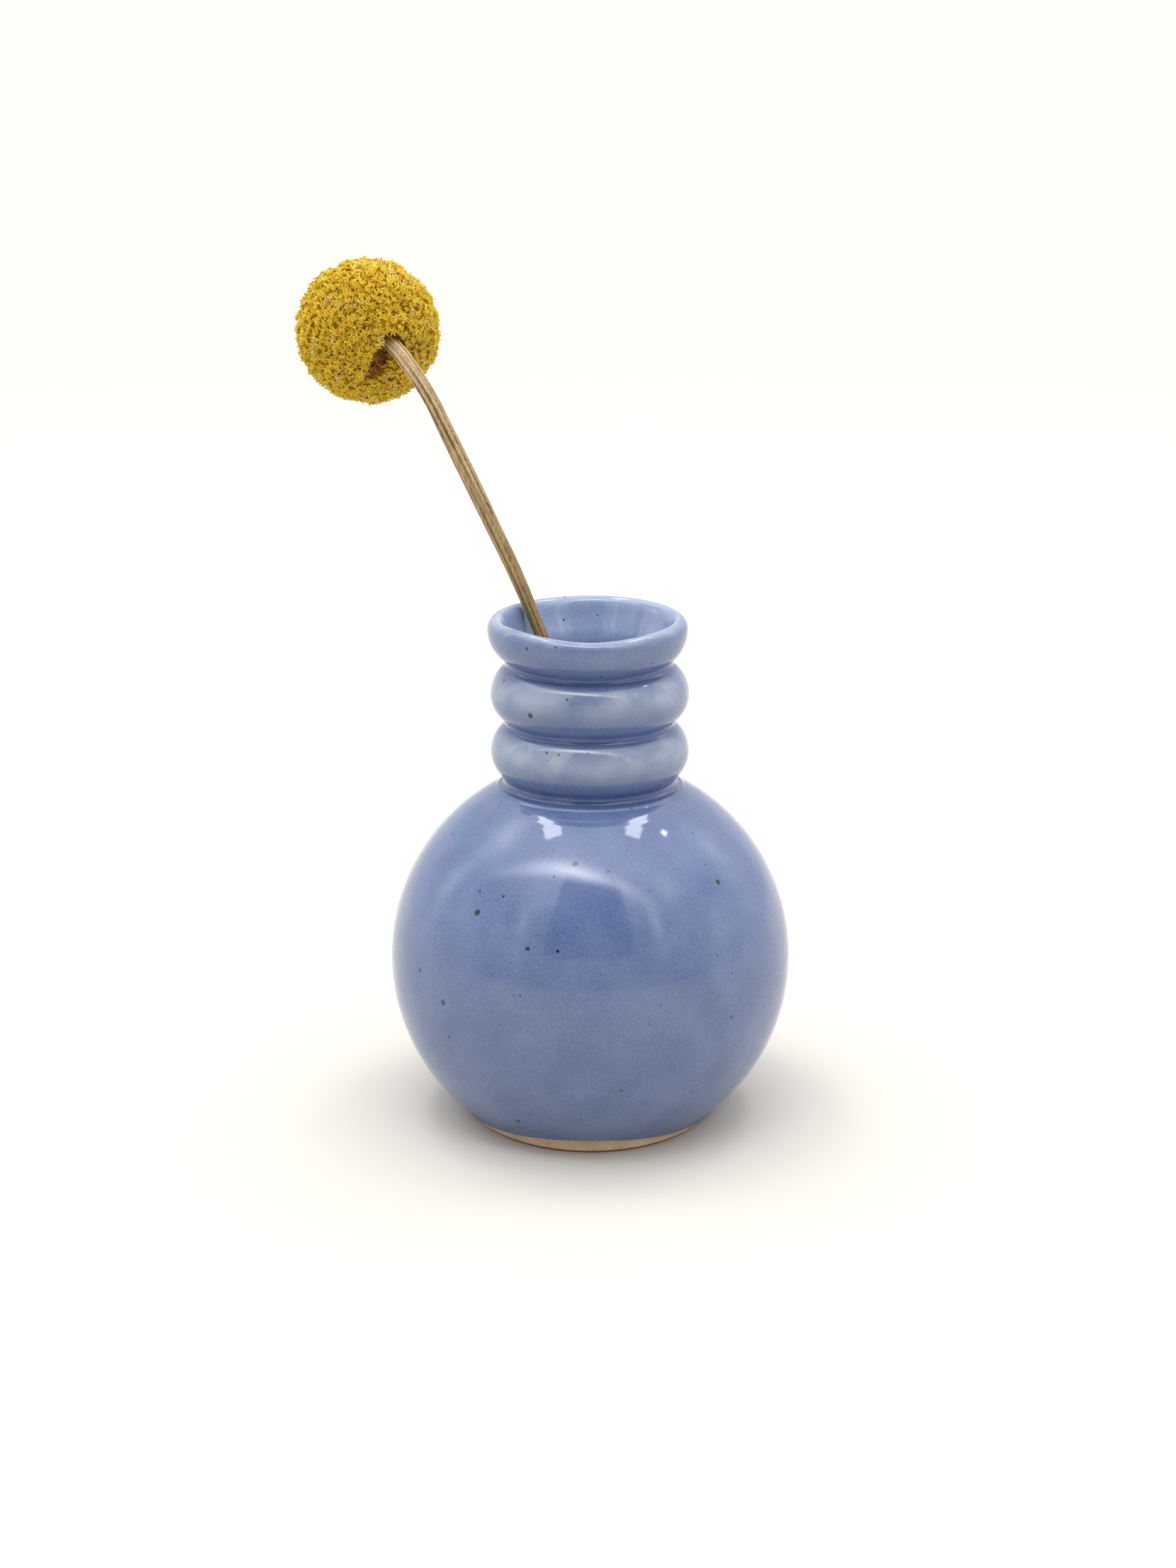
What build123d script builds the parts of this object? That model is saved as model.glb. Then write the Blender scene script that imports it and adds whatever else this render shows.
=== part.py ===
from build123d import *
from math import sqrt
import os

# A small stoneware bud vase with a round globe and a ringed neck, and one dried billy button standing in it.
# Lengths are in millimetres. The origin is the middle of the foot, where it stands on the table.
# +Z is up the vase's turning axis, and -Y is its front. Each profile is a half section, drawn in the
# upright XZ plane, with the distance from the axis as its first coordinate and the height as its second.

# ---- driving dimensions: globe and foot --------------------------------------------------------
GLOBE_RADIUS = 42.0  # outside of the glaze
GLOBE_CENTRE_Z = 33.0
GLOBE_INNER_RADIUS = 38.0
FLOOR_Z = 5.4  # the floor inside, on top of its glaze
FLOOR_CORNER_RADIUS = 7.0
GLAZE_LINE_Z = 2.2  # the glaze stops here, and the clay below it is bare
FOOT_RADIUS = 27.3  # where the foot meets the table
FOOT_BEVEL = 0.5

# ---- driving dimensions: neck and lip ----------------------------------------------------------
NECK_JOINT_Z = 70.6  # where the neck was luted onto the globe
NECK_CORE_RADIUS = 13.5  # fills the neck behind its rings
RING_RADIUS = 6.6  # section radius of the two full rings
RINGS = ((78.0, 20.25), (90.2, 20.05))  # height and reach of the two full rings
RIM_RING_Z = 102.6
RIM_RING_REACH = 20.3
RIM_RING_RADIUS = 7.0
RIM_Z = 105.5  # top of the lip
LIP_OUTER_EDGE = 1.2  # roundings of the lip's two edges
LIP_INNER_EDGE = 1.9
GROOVE_RADIUS = 1.0  # bottom of the grooves between the rings
SHOULDER_RADIUS = 1.6  # bottom of the groove where the neck meets the globe
BORE_RADIUS = 14.4
SWELL_RADIUS = 7.0  # section radius of the hollow behind each ring
SWELL_REACH = 15.8
FLARE_Z = 103.2  # the mouth opens out to its full width here
FLARE_REACH = 16.6
BORE_EDGE_RADIUS = 2.0  # roundings where the hollow's curves meet

# ---- driving dimensions: glaze -----------------------------------------------------------------
GLAZE = 0.4

# ---- driving dimensions: flower ----------------------------------------------------------------
STEM_ROUTE = (  # centreline corners, from the end inside the vase up to the flower head's middle
    Vector(26.79, -16.89, 14.3),
    Vector(-15.66, 11.44, 113.0),
    Vector(-33.9, 22.2, 149.0),
    Vector(-41.2, 27.9, 158.3),
    Vector(-47.6, 40.0, 159.8),
)
STEM_TURNS = (200.0, 42.0, 11.5)  # bend radius at each corner
STEM_LOW_RADIUS = 1.35
STEM_HIGH_RADIUS = 1.65
TAPER = (0.35, 0.75)  # the share of the second run over which the stem thickens
SEAT_DEPTH = 2.6  # how deep the stem goes into the receptacle
HEAD_RADIUS = 15.0
RECEPTACLE_RADIUS = 4.6
PIT_MOUTH_RADIUS = 5.6  # the pit that the stem comes out of
PIT_FLOOR_RADIUS = 3.4
BRACT_COUNT = 8
BRACT_RING_RADIUS = 2.5
BRACT_LENGTH = 2.5
BRACT_LEAN = 20.0  # degrees outwards from the stem
BRACT_ROOT = (0.26, 0.75)  # half thickness and half width
BRACT_TIP = (0.14, 0.25)
BRACT_EMBED = 0.3
STUB_HEIGHT_SHARE = 0.53  # how far up the second run the leaf stub is
STUB_LENGTH = 2.3
STUB_RADII = (0.5, 0.15)
STUB_LEAN = 0.5  # how far it leans out for its height
STUB_EMBED = 0.4

BEYOND = 140.0  # reaches past the whole object, for cutting
NEAR = 0.1  # a corner this close to a place is taken as lying there


# ---- sections of the vase ----------------------------------------------------------------------
def ring_on_both_sides(z, reach, radius):
    """Adds a round section to each side of the axis, reaching this far from it."""
    with Locations((reach - radius, z), (radius - reach, z)):
        Circle(radius)


def column(half_width, low, high, mode=Mode.ADD):
    """Adds an upright strip centred on the axis, between two heights."""
    with Locations((0, low)):
        Rectangle(2 * half_width, high - low, align=(Align.CENTER, Align.MIN), mode=mode)


def corners(sketch, low, high):
    """The sketch's corners between two heights."""
    return [v for v in sketch.vertices() if low < v.Y < high]


def corners_at(sketch, height, reach=BEYOND):
    """The sketch's corners at one height, no further from the axis than this."""
    return [v for v in corners(sketch, height - NEAR, height + NEAR) if abs(v.X) < reach + NEAR]


def keep_half(low, high):
    """Keeps what is on the axis's +X side, between two heights."""
    with Locations((0, low)):
        Rectangle(BEYOND, high - low, align=(Align.MIN, Align.MIN), mode=Mode.INTERSECT)


def outside_section(skin):
    """The vase filled in solid, with its whole outline taken in by skin."""
    with BuildSketch() as section:
        with Locations((0, GLOBE_CENTRE_Z)):
            Circle(GLOBE_RADIUS - skin)
        column(NECK_CORE_RADIUS - skin, GLOBE_CENTRE_Z, RIM_Z)
        for ring_z, ring_reach in RINGS:
            ring_on_both_sides(ring_z, ring_reach - skin, RING_RADIUS - skin)
        ring_on_both_sides(RIM_RING_Z, RIM_RING_REACH - skin, RIM_RING_RADIUS - skin)
        lowest_ring_z = RINGS[0][0]
        fillet(corners(section, NECK_JOINT_Z, lowest_ring_z), SHOULDER_RADIUS + skin)
        fillet(corners(section, lowest_ring_z, RIM_RING_Z), GROOVE_RADIUS + skin)
        column(BEYOND, -BEYOND, RIM_Z - skin, mode=Mode.INTERSECT)
        fillet(corners_at(section, RIM_Z - skin), LIP_OUTER_EDGE - skin)
    return section.sketch


def hollow_section(skin):
    """The hollow inside the vase, carried on up past the lip, and grown by skin."""
    with BuildSketch() as section:
        with Locations((0, GLOBE_CENTRE_Z)):
            Circle(GLOBE_INNER_RADIUS + skin)
        column(BEYOND, FLOOR_Z - skin, BEYOND, mode=Mode.INTERSECT)
        fillet(corners_at(section, FLOOR_Z - skin), FLOOR_CORNER_RADIUS + skin)
        column(BORE_RADIUS + skin, GLOBE_CENTRE_Z, BEYOND)
        for ring_z, ring_reach in RINGS:
            ring_on_both_sides(ring_z, SWELL_REACH + skin, SWELL_RADIUS + skin)
        ring_on_both_sides(FLARE_Z, FLARE_REACH + skin, SWELL_RADIUS + skin)
        column(FLARE_REACH + skin, FLARE_Z, BEYOND)
        fillet(corners(section, GLOBE_CENTRE_Z, FLARE_Z - NEAR), BORE_EDGE_RADIUS - skin)
    return section.sketch


def wall_section(skin):
    """The wall between the outside and the hollow, each taken into it by skin, with its lip rounded."""
    with BuildSketch() as section:
        add(outside_section(skin))
        add(hollow_section(skin), mode=Mode.SUBTRACT)
        fillet(corners_at(section, RIM_Z - skin, reach=FLARE_REACH + skin), LIP_INNER_EDGE - skin)
    return section.sketch


glazed_wall = wall_section(0)
clay_wall = wall_section(GLAZE)
liner_side = hollow_section(LIP_INNER_EDGE)  # everything on the hollow's side of the lip's crest


# ---- the vase ----------------------------------------------------------------------------------
# globe: thrown, with a bare foot below the glaze line
clay_at_glaze_line = sqrt((GLOBE_RADIUS - GLAZE) ** 2 - (GLOBE_CENTRE_Z - GLAZE_LINE_Z) ** 2)

with BuildPart() as globe:
    with BuildSketch(Plane.XZ):
        add(clay_wall)
        keep_half(GLAZE_LINE_Z, NECK_JOINT_Z)
        with BuildLine():
            Polyline(
                (0, 0),
                (FOOT_RADIUS, 0),
                (FOOT_RADIUS + FOOT_BEVEL, FOOT_BEVEL),
                (clay_at_glaze_line, GLAZE_LINE_Z),
                (0, GLAZE_LINE_Z),
                close=True,
            )
        make_face()
    revolve(axis=Axis.Z)
globe.part.label = "globe"

# neck: thrown apart, its rings pushed out from a straight wall
with BuildPart() as neck:
    with BuildSketch(Plane.XZ):
        add(clay_wall)
        keep_half(NECK_JOINT_Z, BEYOND)
    revolve(axis=Axis.Z)
neck.part.label = "neck"

# outside glaze, from the glaze line to the lip's crest
with BuildPart() as glaze_outside:
    with BuildSketch(Plane.XZ):
        add(glazed_wall)
        add(clay_wall, mode=Mode.SUBTRACT)
        add(liner_side, mode=Mode.SUBTRACT)
        keep_half(GLAZE_LINE_Z, BEYOND)
    revolve(axis=Axis.Z)
glaze_outside.part.label = "glaze_outside"

# liner glaze, poured inside and tipped out again, so it coats the hollow up to the lip's crest
with BuildPart() as glaze_liner:
    with BuildSketch(Plane.XZ):
        add(glazed_wall)
        add(clay_wall, mode=Mode.SUBTRACT)
        add(liner_side, mode=Mode.INTERSECT)
        keep_half(GLAZE_LINE_Z, BEYOND)
    revolve(axis=Axis.Z)
glaze_liner.part.label = "glaze_liner"


# ---- the flower --------------------------------------------------------------------------------
head_centre = STEM_ROUTE[-1]
last_run = STEM_ROUTE[-2] - head_centre
head_plane = Plane(origin=head_centre, z_dir=last_run)  # its +Z points down the pit's axis, along the stem
seat = head_centre + last_run.normalized() * (RECEPTACLE_RADIUS - SEAT_DEPTH)
second_run = STEM_ROUTE[2] - STEM_ROUTE[1]
taper_start, taper_end = (STEM_ROUTE[1] + second_run * share for share in TAPER)


def tube(points, bends, radius):
    """Adds a round tube along straight runs joined by arcs."""
    with BuildLine() as line:
        FilletPolyline(*points, radius=bends)
    path = line.line
    with BuildSketch(Plane(origin=path @ 0, z_dir=path % 0)) as section:
        Circle(radius)
    sweep(section.sketch, path=path)


# stem: straight where it lies in the vase, leaning on the lip, and bent over sharply below the head
with BuildPart() as stem:
    tube([*STEM_ROUTE[:2], taper_start], STEM_TURNS[:1], STEM_LOW_RADIUS)
    for place, radius in ((taper_start, STEM_LOW_RADIUS), (taper_end, STEM_HIGH_RADIUS)):
        with BuildSketch(Plane(origin=place, z_dir=second_run)):
            Circle(radius)
    loft()
    tube([taper_end, *STEM_ROUTE[2:4], seat], STEM_TURNS[1:], STEM_HIGH_RADIUS)
stem.part.label = "stem"

# leaf stub: what is left of a leaf's stalk, a short spur that points up the stem
stub_side = Vector(0, 0, 1).cross(second_run).normalized() * -1
stub_direction = second_run.normalized() + stub_side * STUB_LEAN
stub_root = STEM_ROUTE[1] + second_run * STUB_HEIGHT_SHARE + stub_side * (STEM_LOW_RADIUS - STUB_EMBED)
with BuildPart(Plane(origin=stub_root, z_dir=stub_direction)) as leaf_stub:
    Cone(*STUB_RADII, STUB_LENGTH, align=(Align.CENTER, Align.CENTER, Align.MIN))
leaf_stub.part.label = "leaf_stub"

# receptacle: the hard core that the florets grow from, with the stem's end in it
with BuildPart(head_plane) as receptacle:
    Sphere(RECEPTACLE_RADIUS)
    with Locations((0, 0, RECEPTACLE_RADIUS - SEAT_DEPTH)):
        Cylinder(
            STEM_HIGH_RADIUS,
            RECEPTACLE_RADIUS,
            align=(Align.CENTER, Align.CENTER, Align.MIN),
            mode=Mode.SUBTRACT,
        )
receptacle.part.label = "receptacle"

# bracts: the ring of dry scales round the stem, at the bottom of the pit
bract_root_z = sqrt(RECEPTACLE_RADIUS**2 - BRACT_RING_RADIUS**2) - BRACT_EMBED
with BuildPart() as bracts:
    for index in range(BRACT_COUNT):
        turn = Location((0, 0, 0), (0, 0, index * 360 / BRACT_COUNT))
        lean = Location((BRACT_RING_RADIUS, 0, bract_root_z), (0, BRACT_LEAN, 0))
        root_plane = Plane(head_plane.location * turn * lean)
        with BuildSketch(root_plane):
            Ellipse(*BRACT_ROOT)
        with BuildSketch(root_plane.offset(BRACT_LENGTH)):
            Ellipse(*BRACT_TIP)
        loft()
bracts.part.label = "bracts"

# floret ball: hundreds of tiny florets packed into a ball, with a pit where the stem comes out
with BuildPart(head_plane) as floret_ball:
    Sphere(HEAD_RADIUS)
    Cone(
        PIT_FLOOR_RADIUS,
        PIT_MOUTH_RADIUS,
        HEAD_RADIUS,
        align=(Align.CENTER, Align.CENTER, Align.MIN),
        mode=Mode.SUBTRACT,
    )
    Sphere(RECEPTACLE_RADIUS, mode=Mode.SUBTRACT)
floret_ball.part.label = "floret_ball"


# ---- files -------------------------------------------------------------------------------------
pieces = (
    globe,
    neck,
    glaze_outside,
    glaze_liner,
    stem,
    leaf_stub,
    receptacle,
    bracts,
    floret_ball,
)
os.makedirs("parts", exist_ok=True)
for piece in pieces:
    export_step(piece.part, f"parts/{piece.part.label}.step")
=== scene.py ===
"""Looks of a ringed stoneware bud vase and of the dried billy button that stands in it.

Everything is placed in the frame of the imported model, in metres. The sizes in the classes are in
millimetres, as a potter or a florist would give them, and MM turns them to metres when a mesh is made.
"""

import logging
import math
from dataclasses import dataclass
from enum import Enum
from typing import Any

import bmesh
import bpy
import numpy as np
from mathutils import Matrix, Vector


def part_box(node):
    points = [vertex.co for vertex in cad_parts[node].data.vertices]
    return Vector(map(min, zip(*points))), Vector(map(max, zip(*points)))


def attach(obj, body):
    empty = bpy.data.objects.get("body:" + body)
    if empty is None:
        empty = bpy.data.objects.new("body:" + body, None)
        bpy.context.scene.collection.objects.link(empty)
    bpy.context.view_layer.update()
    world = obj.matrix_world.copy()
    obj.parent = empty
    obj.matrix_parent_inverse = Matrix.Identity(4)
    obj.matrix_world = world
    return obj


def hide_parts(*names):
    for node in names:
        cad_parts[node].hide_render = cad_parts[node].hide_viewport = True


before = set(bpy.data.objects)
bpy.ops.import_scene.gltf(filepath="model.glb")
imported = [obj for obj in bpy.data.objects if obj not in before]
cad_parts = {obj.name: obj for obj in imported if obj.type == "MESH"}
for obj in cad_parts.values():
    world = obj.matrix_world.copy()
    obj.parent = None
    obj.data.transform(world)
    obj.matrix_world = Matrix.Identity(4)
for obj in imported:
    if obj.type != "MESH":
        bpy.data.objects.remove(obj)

MM = 0.001
LOG = logging.getLogger("bud_vase")


# ---- colours, nodes and meshes ---------------------------------------------------------------


def linear(code: str) -> tuple[float, float, float, float]:
    """Turns an sRGB hex colour to linear.

    Args:
        code: the colour, such as "#6f89b6".

    Returns:
        Linear red, green and blue, with an alpha of 1.
    """
    parts = [int(code[i : i + 2], 16) / 255 for i in (1, 3, 5)]
    red, green, blue = (
        c / 12.92 if c <= 0.04045 else ((c + 0.055) / 1.055) ** 2.4 for c in parts
    )
    return red, green, blue, 1.0


def pigment(code: str) -> np.ndarray:
    """An sRGB hex colour made linear, as an array that can be mixed with others."""
    return np.array(linear(code))


def add_node(
    tree: bpy.types.NodeTree, kind: str, inputs: dict[Any, Any] | None = None, **settings: Any
) -> bpy.types.Node:
    """Adds one node to a tree.

    Args:
        tree: the tree it goes into.
        kind: Blender's name for the node, such as "ShaderNodeMix".
        inputs: a value or another node's output for each input, by name or number.
        settings: the node's own properties.

    Returns:
        The new node.
    """
    node = tree.nodes.new(kind)
    for name, value in settings.items():
        setattr(node, name, value)
    for key, value in (inputs or {}).items():
        if isinstance(value, bpy.types.NodeSocket):
            tree.links.new(value, node.inputs[key])
        else:
            node.inputs[key].default_value = value
    return node


def new_material(name: str) -> tuple[bpy.types.Material, bpy.types.NodeTree]:
    """Makes a material with an empty node tree.

    Args:
        name: what the real material is.

    Returns:
        The material and its tree.
    """
    material = bpy.data.materials.new(name)
    material.use_nodes = True
    material.node_tree.nodes.clear()
    return material, material.node_tree


def make_mesh(
    name: str, points: np.ndarray, faces: list[tuple[int, ...]], **layers: np.ndarray
) -> bpy.types.Object:
    """Makes a smooth mesh object with its faces turned outwards.

    Args:
        name: the piece's name.
        points: one row for each vertex, in millimetres.
        faces: the vertices of each face.
        layers: a number or a linear colour for each vertex, under the name that its material reads.

    Returns:
        The object, linked to the scene.
    """
    mesh = bpy.data.meshes.new(name)
    mesh.from_pydata((points * MM).tolist(), [], faces)
    shell = bmesh.new()
    shell.from_mesh(mesh)
    bmesh.ops.recalc_face_normals(shell, faces=shell.faces)
    shell.to_mesh(mesh)
    shell.free()
    mesh.shade_smooth()
    for key, values in layers.items():
        flat = values.ndim == 1
        layer = mesh.attributes.new(key, "FLOAT" if flat else "FLOAT_COLOR", "POINT")
        layer.data.foreach_set("value" if flat else "color", values.astype(np.float32).ravel())
    piece = bpy.data.objects.new(name, mesh)
    bpy.context.scene.collection.objects.link(piece)
    return piece


class Ends(Enum):
    """How a skin of rings of points closes."""

    RING = "its last ring joins its first"
    POLES = "a point closes each end"


def skin_faces(rings: int, count: int, ends: Ends) -> list[tuple[int, ...]]:
    """The faces of a closed skin of rings of points.

    Args:
        rings: how many rings it has.
        count: how many points are in each ring.
        ends: how it closes. Its poles, if it has them, are the two points after the last ring.

    Returns:
        The vertices of each face.
    """
    faces = []
    for i in range(rings if ends is Ends.RING else rings - 1):
        low, high = i * count, (i + 1) % rings * count
        faces += [(low + j, low + (j + 1) % count, high + (j + 1) % count, high + j) for j in range(count)]
    if ends is Ends.POLES:
        first, last, top = rings * count, rings * count + 1, (rings - 1) * count
        faces += [(first, (j + 1) % count, j) for j in range(count)]
        faces += [(last, top + j, top + (j + 1) % count) for j in range(count)]
    return faces


def dress(
    piece: bpy.types.Object, material: bpy.types.Material, body: str, slot: str, *nodes: str
) -> bpy.types.Object:
    """Gives a piece its material and its body, and hides the CAD nodes that it stands for.

    Args:
        piece: the piece.
        material: its material.
        body: the body that it rides on.
        slot: not used.
        nodes: the CAD nodes that it stands for.

    Returns:
        The same piece.
    """
    piece.data.materials.clear()
    piece.data.materials.append(material)
    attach(piece, body)
    if nodes:
        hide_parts(*nodes)
    LOG.info("%s: %d vertices, %d faces", piece.name, len(piece.data.vertices), len(piece.data.polygons))
    return piece


def ease(values: np.ndarray | float, low: float, high: float) -> np.ndarray:
    """Rises smoothly from 0 at low to 1 at high.

    Args:
        values: where to read the curve.
        low: the value where it leaves 0.
        high: the value where it reaches 1.

    Returns:
        The height of the curve at each value.
    """
    share = np.clip((np.asarray(values, float) - low) / (high - low), 0, 1)
    return share * share * (3 - 2 * share)


def bell(angles: np.ndarray, middle: float, width: float) -> np.ndarray:
    """A smooth bump round a circle.

    Args:
        angles: where to read it, in radians.
        middle: the angle of its top, in degrees.
        width: the angle from its top to where it has fallen to 0.37, in degrees.

    Returns:
        The height of the bump at each angle, up to 1.
    """
    away = (angles - math.radians(middle) + math.pi) % (2 * math.pi) - math.pi
    return np.exp(-((away / math.radians(width)) ** 2))


# ---- the vase ----------------------------------------------------------------------------------


@dataclass(frozen=True)
class Bulge:
    """A round stretch of a profile.

    Attributes:
        reach: how far its middle is from the vase's axis, in mm.
        height: the height of its middle, in mm.
        radius: its radius, in mm.
    """

    reach: float
    height: float
    radius: float

    def arc(self, start: float, end: float, step: float) -> np.ndarray:
        """Points along it.

        Args:
            start: the first angle, in radians from straight out.
            end: the last angle, which is left out.
            step: the distance between points, in mm.

        Returns:
            Reach and height of each point.
        """
        count = max(2, math.ceil(abs(end - start) * self.radius / step))
        angles = np.linspace(start, end, count, endpoint=False)
        return np.stack(
            [self.reach + self.radius * np.cos(angles), self.height + self.radius * np.sin(angles)], 1
        )

    def grown(self, amount: float) -> "Bulge":
        """The same bulge with a larger radius."""
        return Bulge(self.reach, self.height, self.radius + amount)

    def groove_to(self, upper: "Bulge", radius: float) -> "Bulge":
        """The round groove that touches this bulge and the next one up.

        Args:
            upper: the bulge above.
            radius: the groove's own radius, in mm.

        Returns:
            The groove, whose middle is outside both.
        """
        near, far = self.radius + radius, upper.radius + radius
        across, up = upper.reach - self.reach, upper.height - self.height
        apart = math.hypot(across, up)
        along = (near**2 - far**2 + apart**2) / (2 * apart)
        out = math.sqrt(near**2 - along**2)
        return Bulge(
            self.reach + (across * along + up * out) / apart,
            self.height + (up * along - across * out) / apart,
            radius,
        )


def outline(
    bulges: list[Bulge], grooves: list[float], start: float, step: float, end: float = 0.0
) -> np.ndarray:
    """Follows a row of bulges upwards, with a round groove between each two.

    Args:
        bulges: the bulges, lowest first.
        grooves: the radius of each groove between them, in mm.
        start: the angle on the lowest bulge where the outline begins, in radians.
        step: the distance between points, in mm.
        end: the angle on the top bulge where the outline ends, in radians.

    Returns:
        Reach and height of each point, up to the end on the top bulge.
    """
    stretches = []
    angle = start
    for lower, upper, radius in zip(bulges, bulges[1:], grooves):
        groove = lower.groove_to(upper, radius)
        leave = math.atan2(groove.height - lower.height, groove.reach - lower.reach)
        enter = math.atan2(groove.height - upper.height, groove.reach - upper.reach)
        stretches.append(lower.arc(angle, leave, step))
        stretches.append(groove.arc(leave + math.pi, enter + math.pi, step))
        angle = enter
    stretches.append(bulges[-1].arc(angle, end, step))
    return np.concatenate(stretches)


@dataclass
class ThrownVase:
    """The pot: a thrown globe with a ringed neck luted onto it, glazed inside and out.

    Attributes:
        globe_radius: outside of the globe's glaze, in mm.
        line_height: height of the line that the glaze was wiped back to.
        joint_height: height where the neck was luted onto the globe.
        crest_height: height of the top of the lip.
        globe_height: height of the globe's middle.
        inner_radius: inside of the globe.
        floor: height of the floor inside.
        floor_corner: rounding between the floor and the wall.
        foot_radius: radius of the foot where it meets the table.
        foot_bevel: the small bevel round the foot.
        foot_dish: how far the middle of the foot is hollowed.
        ring_radius: section radius of the two full rings.
        rings: height and reach of each full ring.
        rim_height: height of the rim ring where it stands out most.
        rim_reach: how far the rim ring stands out.
        rim_radius: section radius of the rim ring below that.
        crest_reach: distance from the axis to the top of the lip.
        groove_radius: rounding in the grooves between rings.
        shoulder_radius: rounding in the groove where the neck meets the globe.
        swell_radius: section radius of the hollow behind each ring.
        swell_reach: how far that hollow reaches.
        flare_reach: how far the flare of the mouth would reach where it stood straight up.
        flare_height: the height where it would.
        flare_radius: section radius of the flare.
        ridge_radius: rounding of the ridges inside the neck.
        glaze: thickness of the glaze.
        lip_tilt: how much higher the lip stands at the back than halfway round.
        thumb_dip: how deep a thumb pressed the lip down at the front.
        neck_shift: how far the neck is to the left of the axis.
        lip_shift: how far the lip is.
        foot_spread: how far the foot was pushed out at the front.
        foot_draw: how far it was drawn in at the sides and the back.
        seams: reach, height and width of each faint ridge that is left where the neck was luted on.
        segments: how many steps round the pot its meshes take.
        step: distance between points down its profile.
    """

    globe_radius: float
    line_height: float
    joint_height: float
    crest_height: float
    globe_height: float = 33.0
    inner_radius: float = 38.0
    floor: float = 5.4
    floor_corner: float = 7.0
    foot_radius: float = 27.3
    foot_bevel: float = 0.5
    foot_dish: float = 0.4
    ring_radius: float = 6.6
    rings: tuple[tuple[float, float], ...] = ((78.0, 20.45), (90.2, 20.4))
    rim_height: float = 103.0
    rim_reach: float = 20.35
    rim_radius: float = 7.0
    crest_reach: float = 18.6
    groove_radius: float = 1.0
    shoulder_radius: float = 1.3
    swell_radius: float = 7.0
    swell_reach: float = 15.8
    flare_reach: float = 17.1
    flare_height: float = 107.0
    flare_radius: float = 15.0
    ridge_radius: float = 6.0
    glaze: float = 0.4
    lip_tilt: float = 0.8
    thumb_dip: float = 0.45
    neck_shift: float = 0.1
    lip_shift: float = 0.65
    foot_spread: float = 0.8
    foot_draw: float = 1.4
    seams: tuple[tuple[float, float, float], ...] = ((19.1, 0.3, 0.3), (23.1, 0.02, 0.35))
    segments: int = 288
    step: float = 0.3

    def outside(self, skin: float, step: float) -> np.ndarray:
        """The outer profile, from the glaze line up to the lip's crest.

        Args:
            skin: how far it is taken in, in mm.
            step: the distance between points, in mm.

        Returns:
            Reach and height of each point.
        """
        rings = [Bulge(reach - self.ring_radius, height, self.ring_radius) for height, reach in self.rings]
        rim = Bulge(self.rim_reach - self.rim_radius, self.rim_height, self.rim_radius)
        bulges = [b.grown(-skin) for b in (Bulge(0, self.globe_height, self.globe_radius), *rings, rim)]
        grooves = [r + skin for r in (self.shoulder_radius, self.groove_radius, self.groove_radius)]
        start = math.asin((self.line_height - self.globe_height) / bulges[0].radius)
        below = outline(bulges, grooves, start, step)
        turn = np.linspace(0, math.pi / 2, math.ceil(4 / step) + 2)
        out, up = self.rim_reach - self.crest_reach - skin, self.crest_height - self.rim_height - skin
        lip = np.stack([self.crest_reach + out * np.cos(turn), self.rim_height + up * np.sin(turn)], 1)
        return np.concatenate([below, lip])

    def inside(self, skin: float, step: float) -> np.ndarray:
        """The inner profile, from the middle of the floor up to the lip's crest.

        Args:
            skin: how far it is taken into the wall, in mm.
            step: the distance between points, in mm.

        Returns:
            Reach and height of each point.
        """
        radii = [self.swell_radius, self.swell_radius, self.flare_radius]
        middles = [self.rings[0][0], self.rings[1][0], self.flare_height]
        reaches = [self.swell_reach, self.swell_reach, self.flare_reach]
        swells = [Bulge(r - radius, h, radius) for r, h, radius in zip(reaches, middles, radii)]
        bulges = [b.grown(skin) for b in (Bulge(0, self.globe_height, self.inner_radius), *swells)]
        ridges = [self.ridge_radius - skin] * 3
        corner = self.floor_corner + skin
        floor = self.floor - skin
        rise = floor + corner - self.globe_height
        bend_reach = math.sqrt((bulges[0].radius - corner) ** 2 - rise**2)
        bend = Bulge(bend_reach, floor + corner, corner)
        leave = math.atan2(rise, bend_reach)
        flat = np.stack([np.linspace(0, bend_reach, math.ceil(bend_reach / step), endpoint=False)] * 2, 1)
        flat[:, 1] = floor
        slant = math.asin((self.rim_height - self.flare_height) / bulges[-1].radius)
        below = outline(bulges, ridges, leave, step, slant)
        start = bulges[-1].arc(slant, 0, step)[0]
        crest = np.array([self.crest_reach, self.crest_height - skin])
        corner = np.array([start[0] - (crest[1] - start[1]) * math.tan(slant), crest[1]])
        t = np.linspace(0, 1, math.ceil(4 / step) + 2)[:, None]
        lip = (1 - t) ** 2 * start + 2 * t * (1 - t) * corner + t**2 * crest
        return np.concatenate([flat, bend.arc(-math.pi / 2, leave, step), below, lip])

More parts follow.
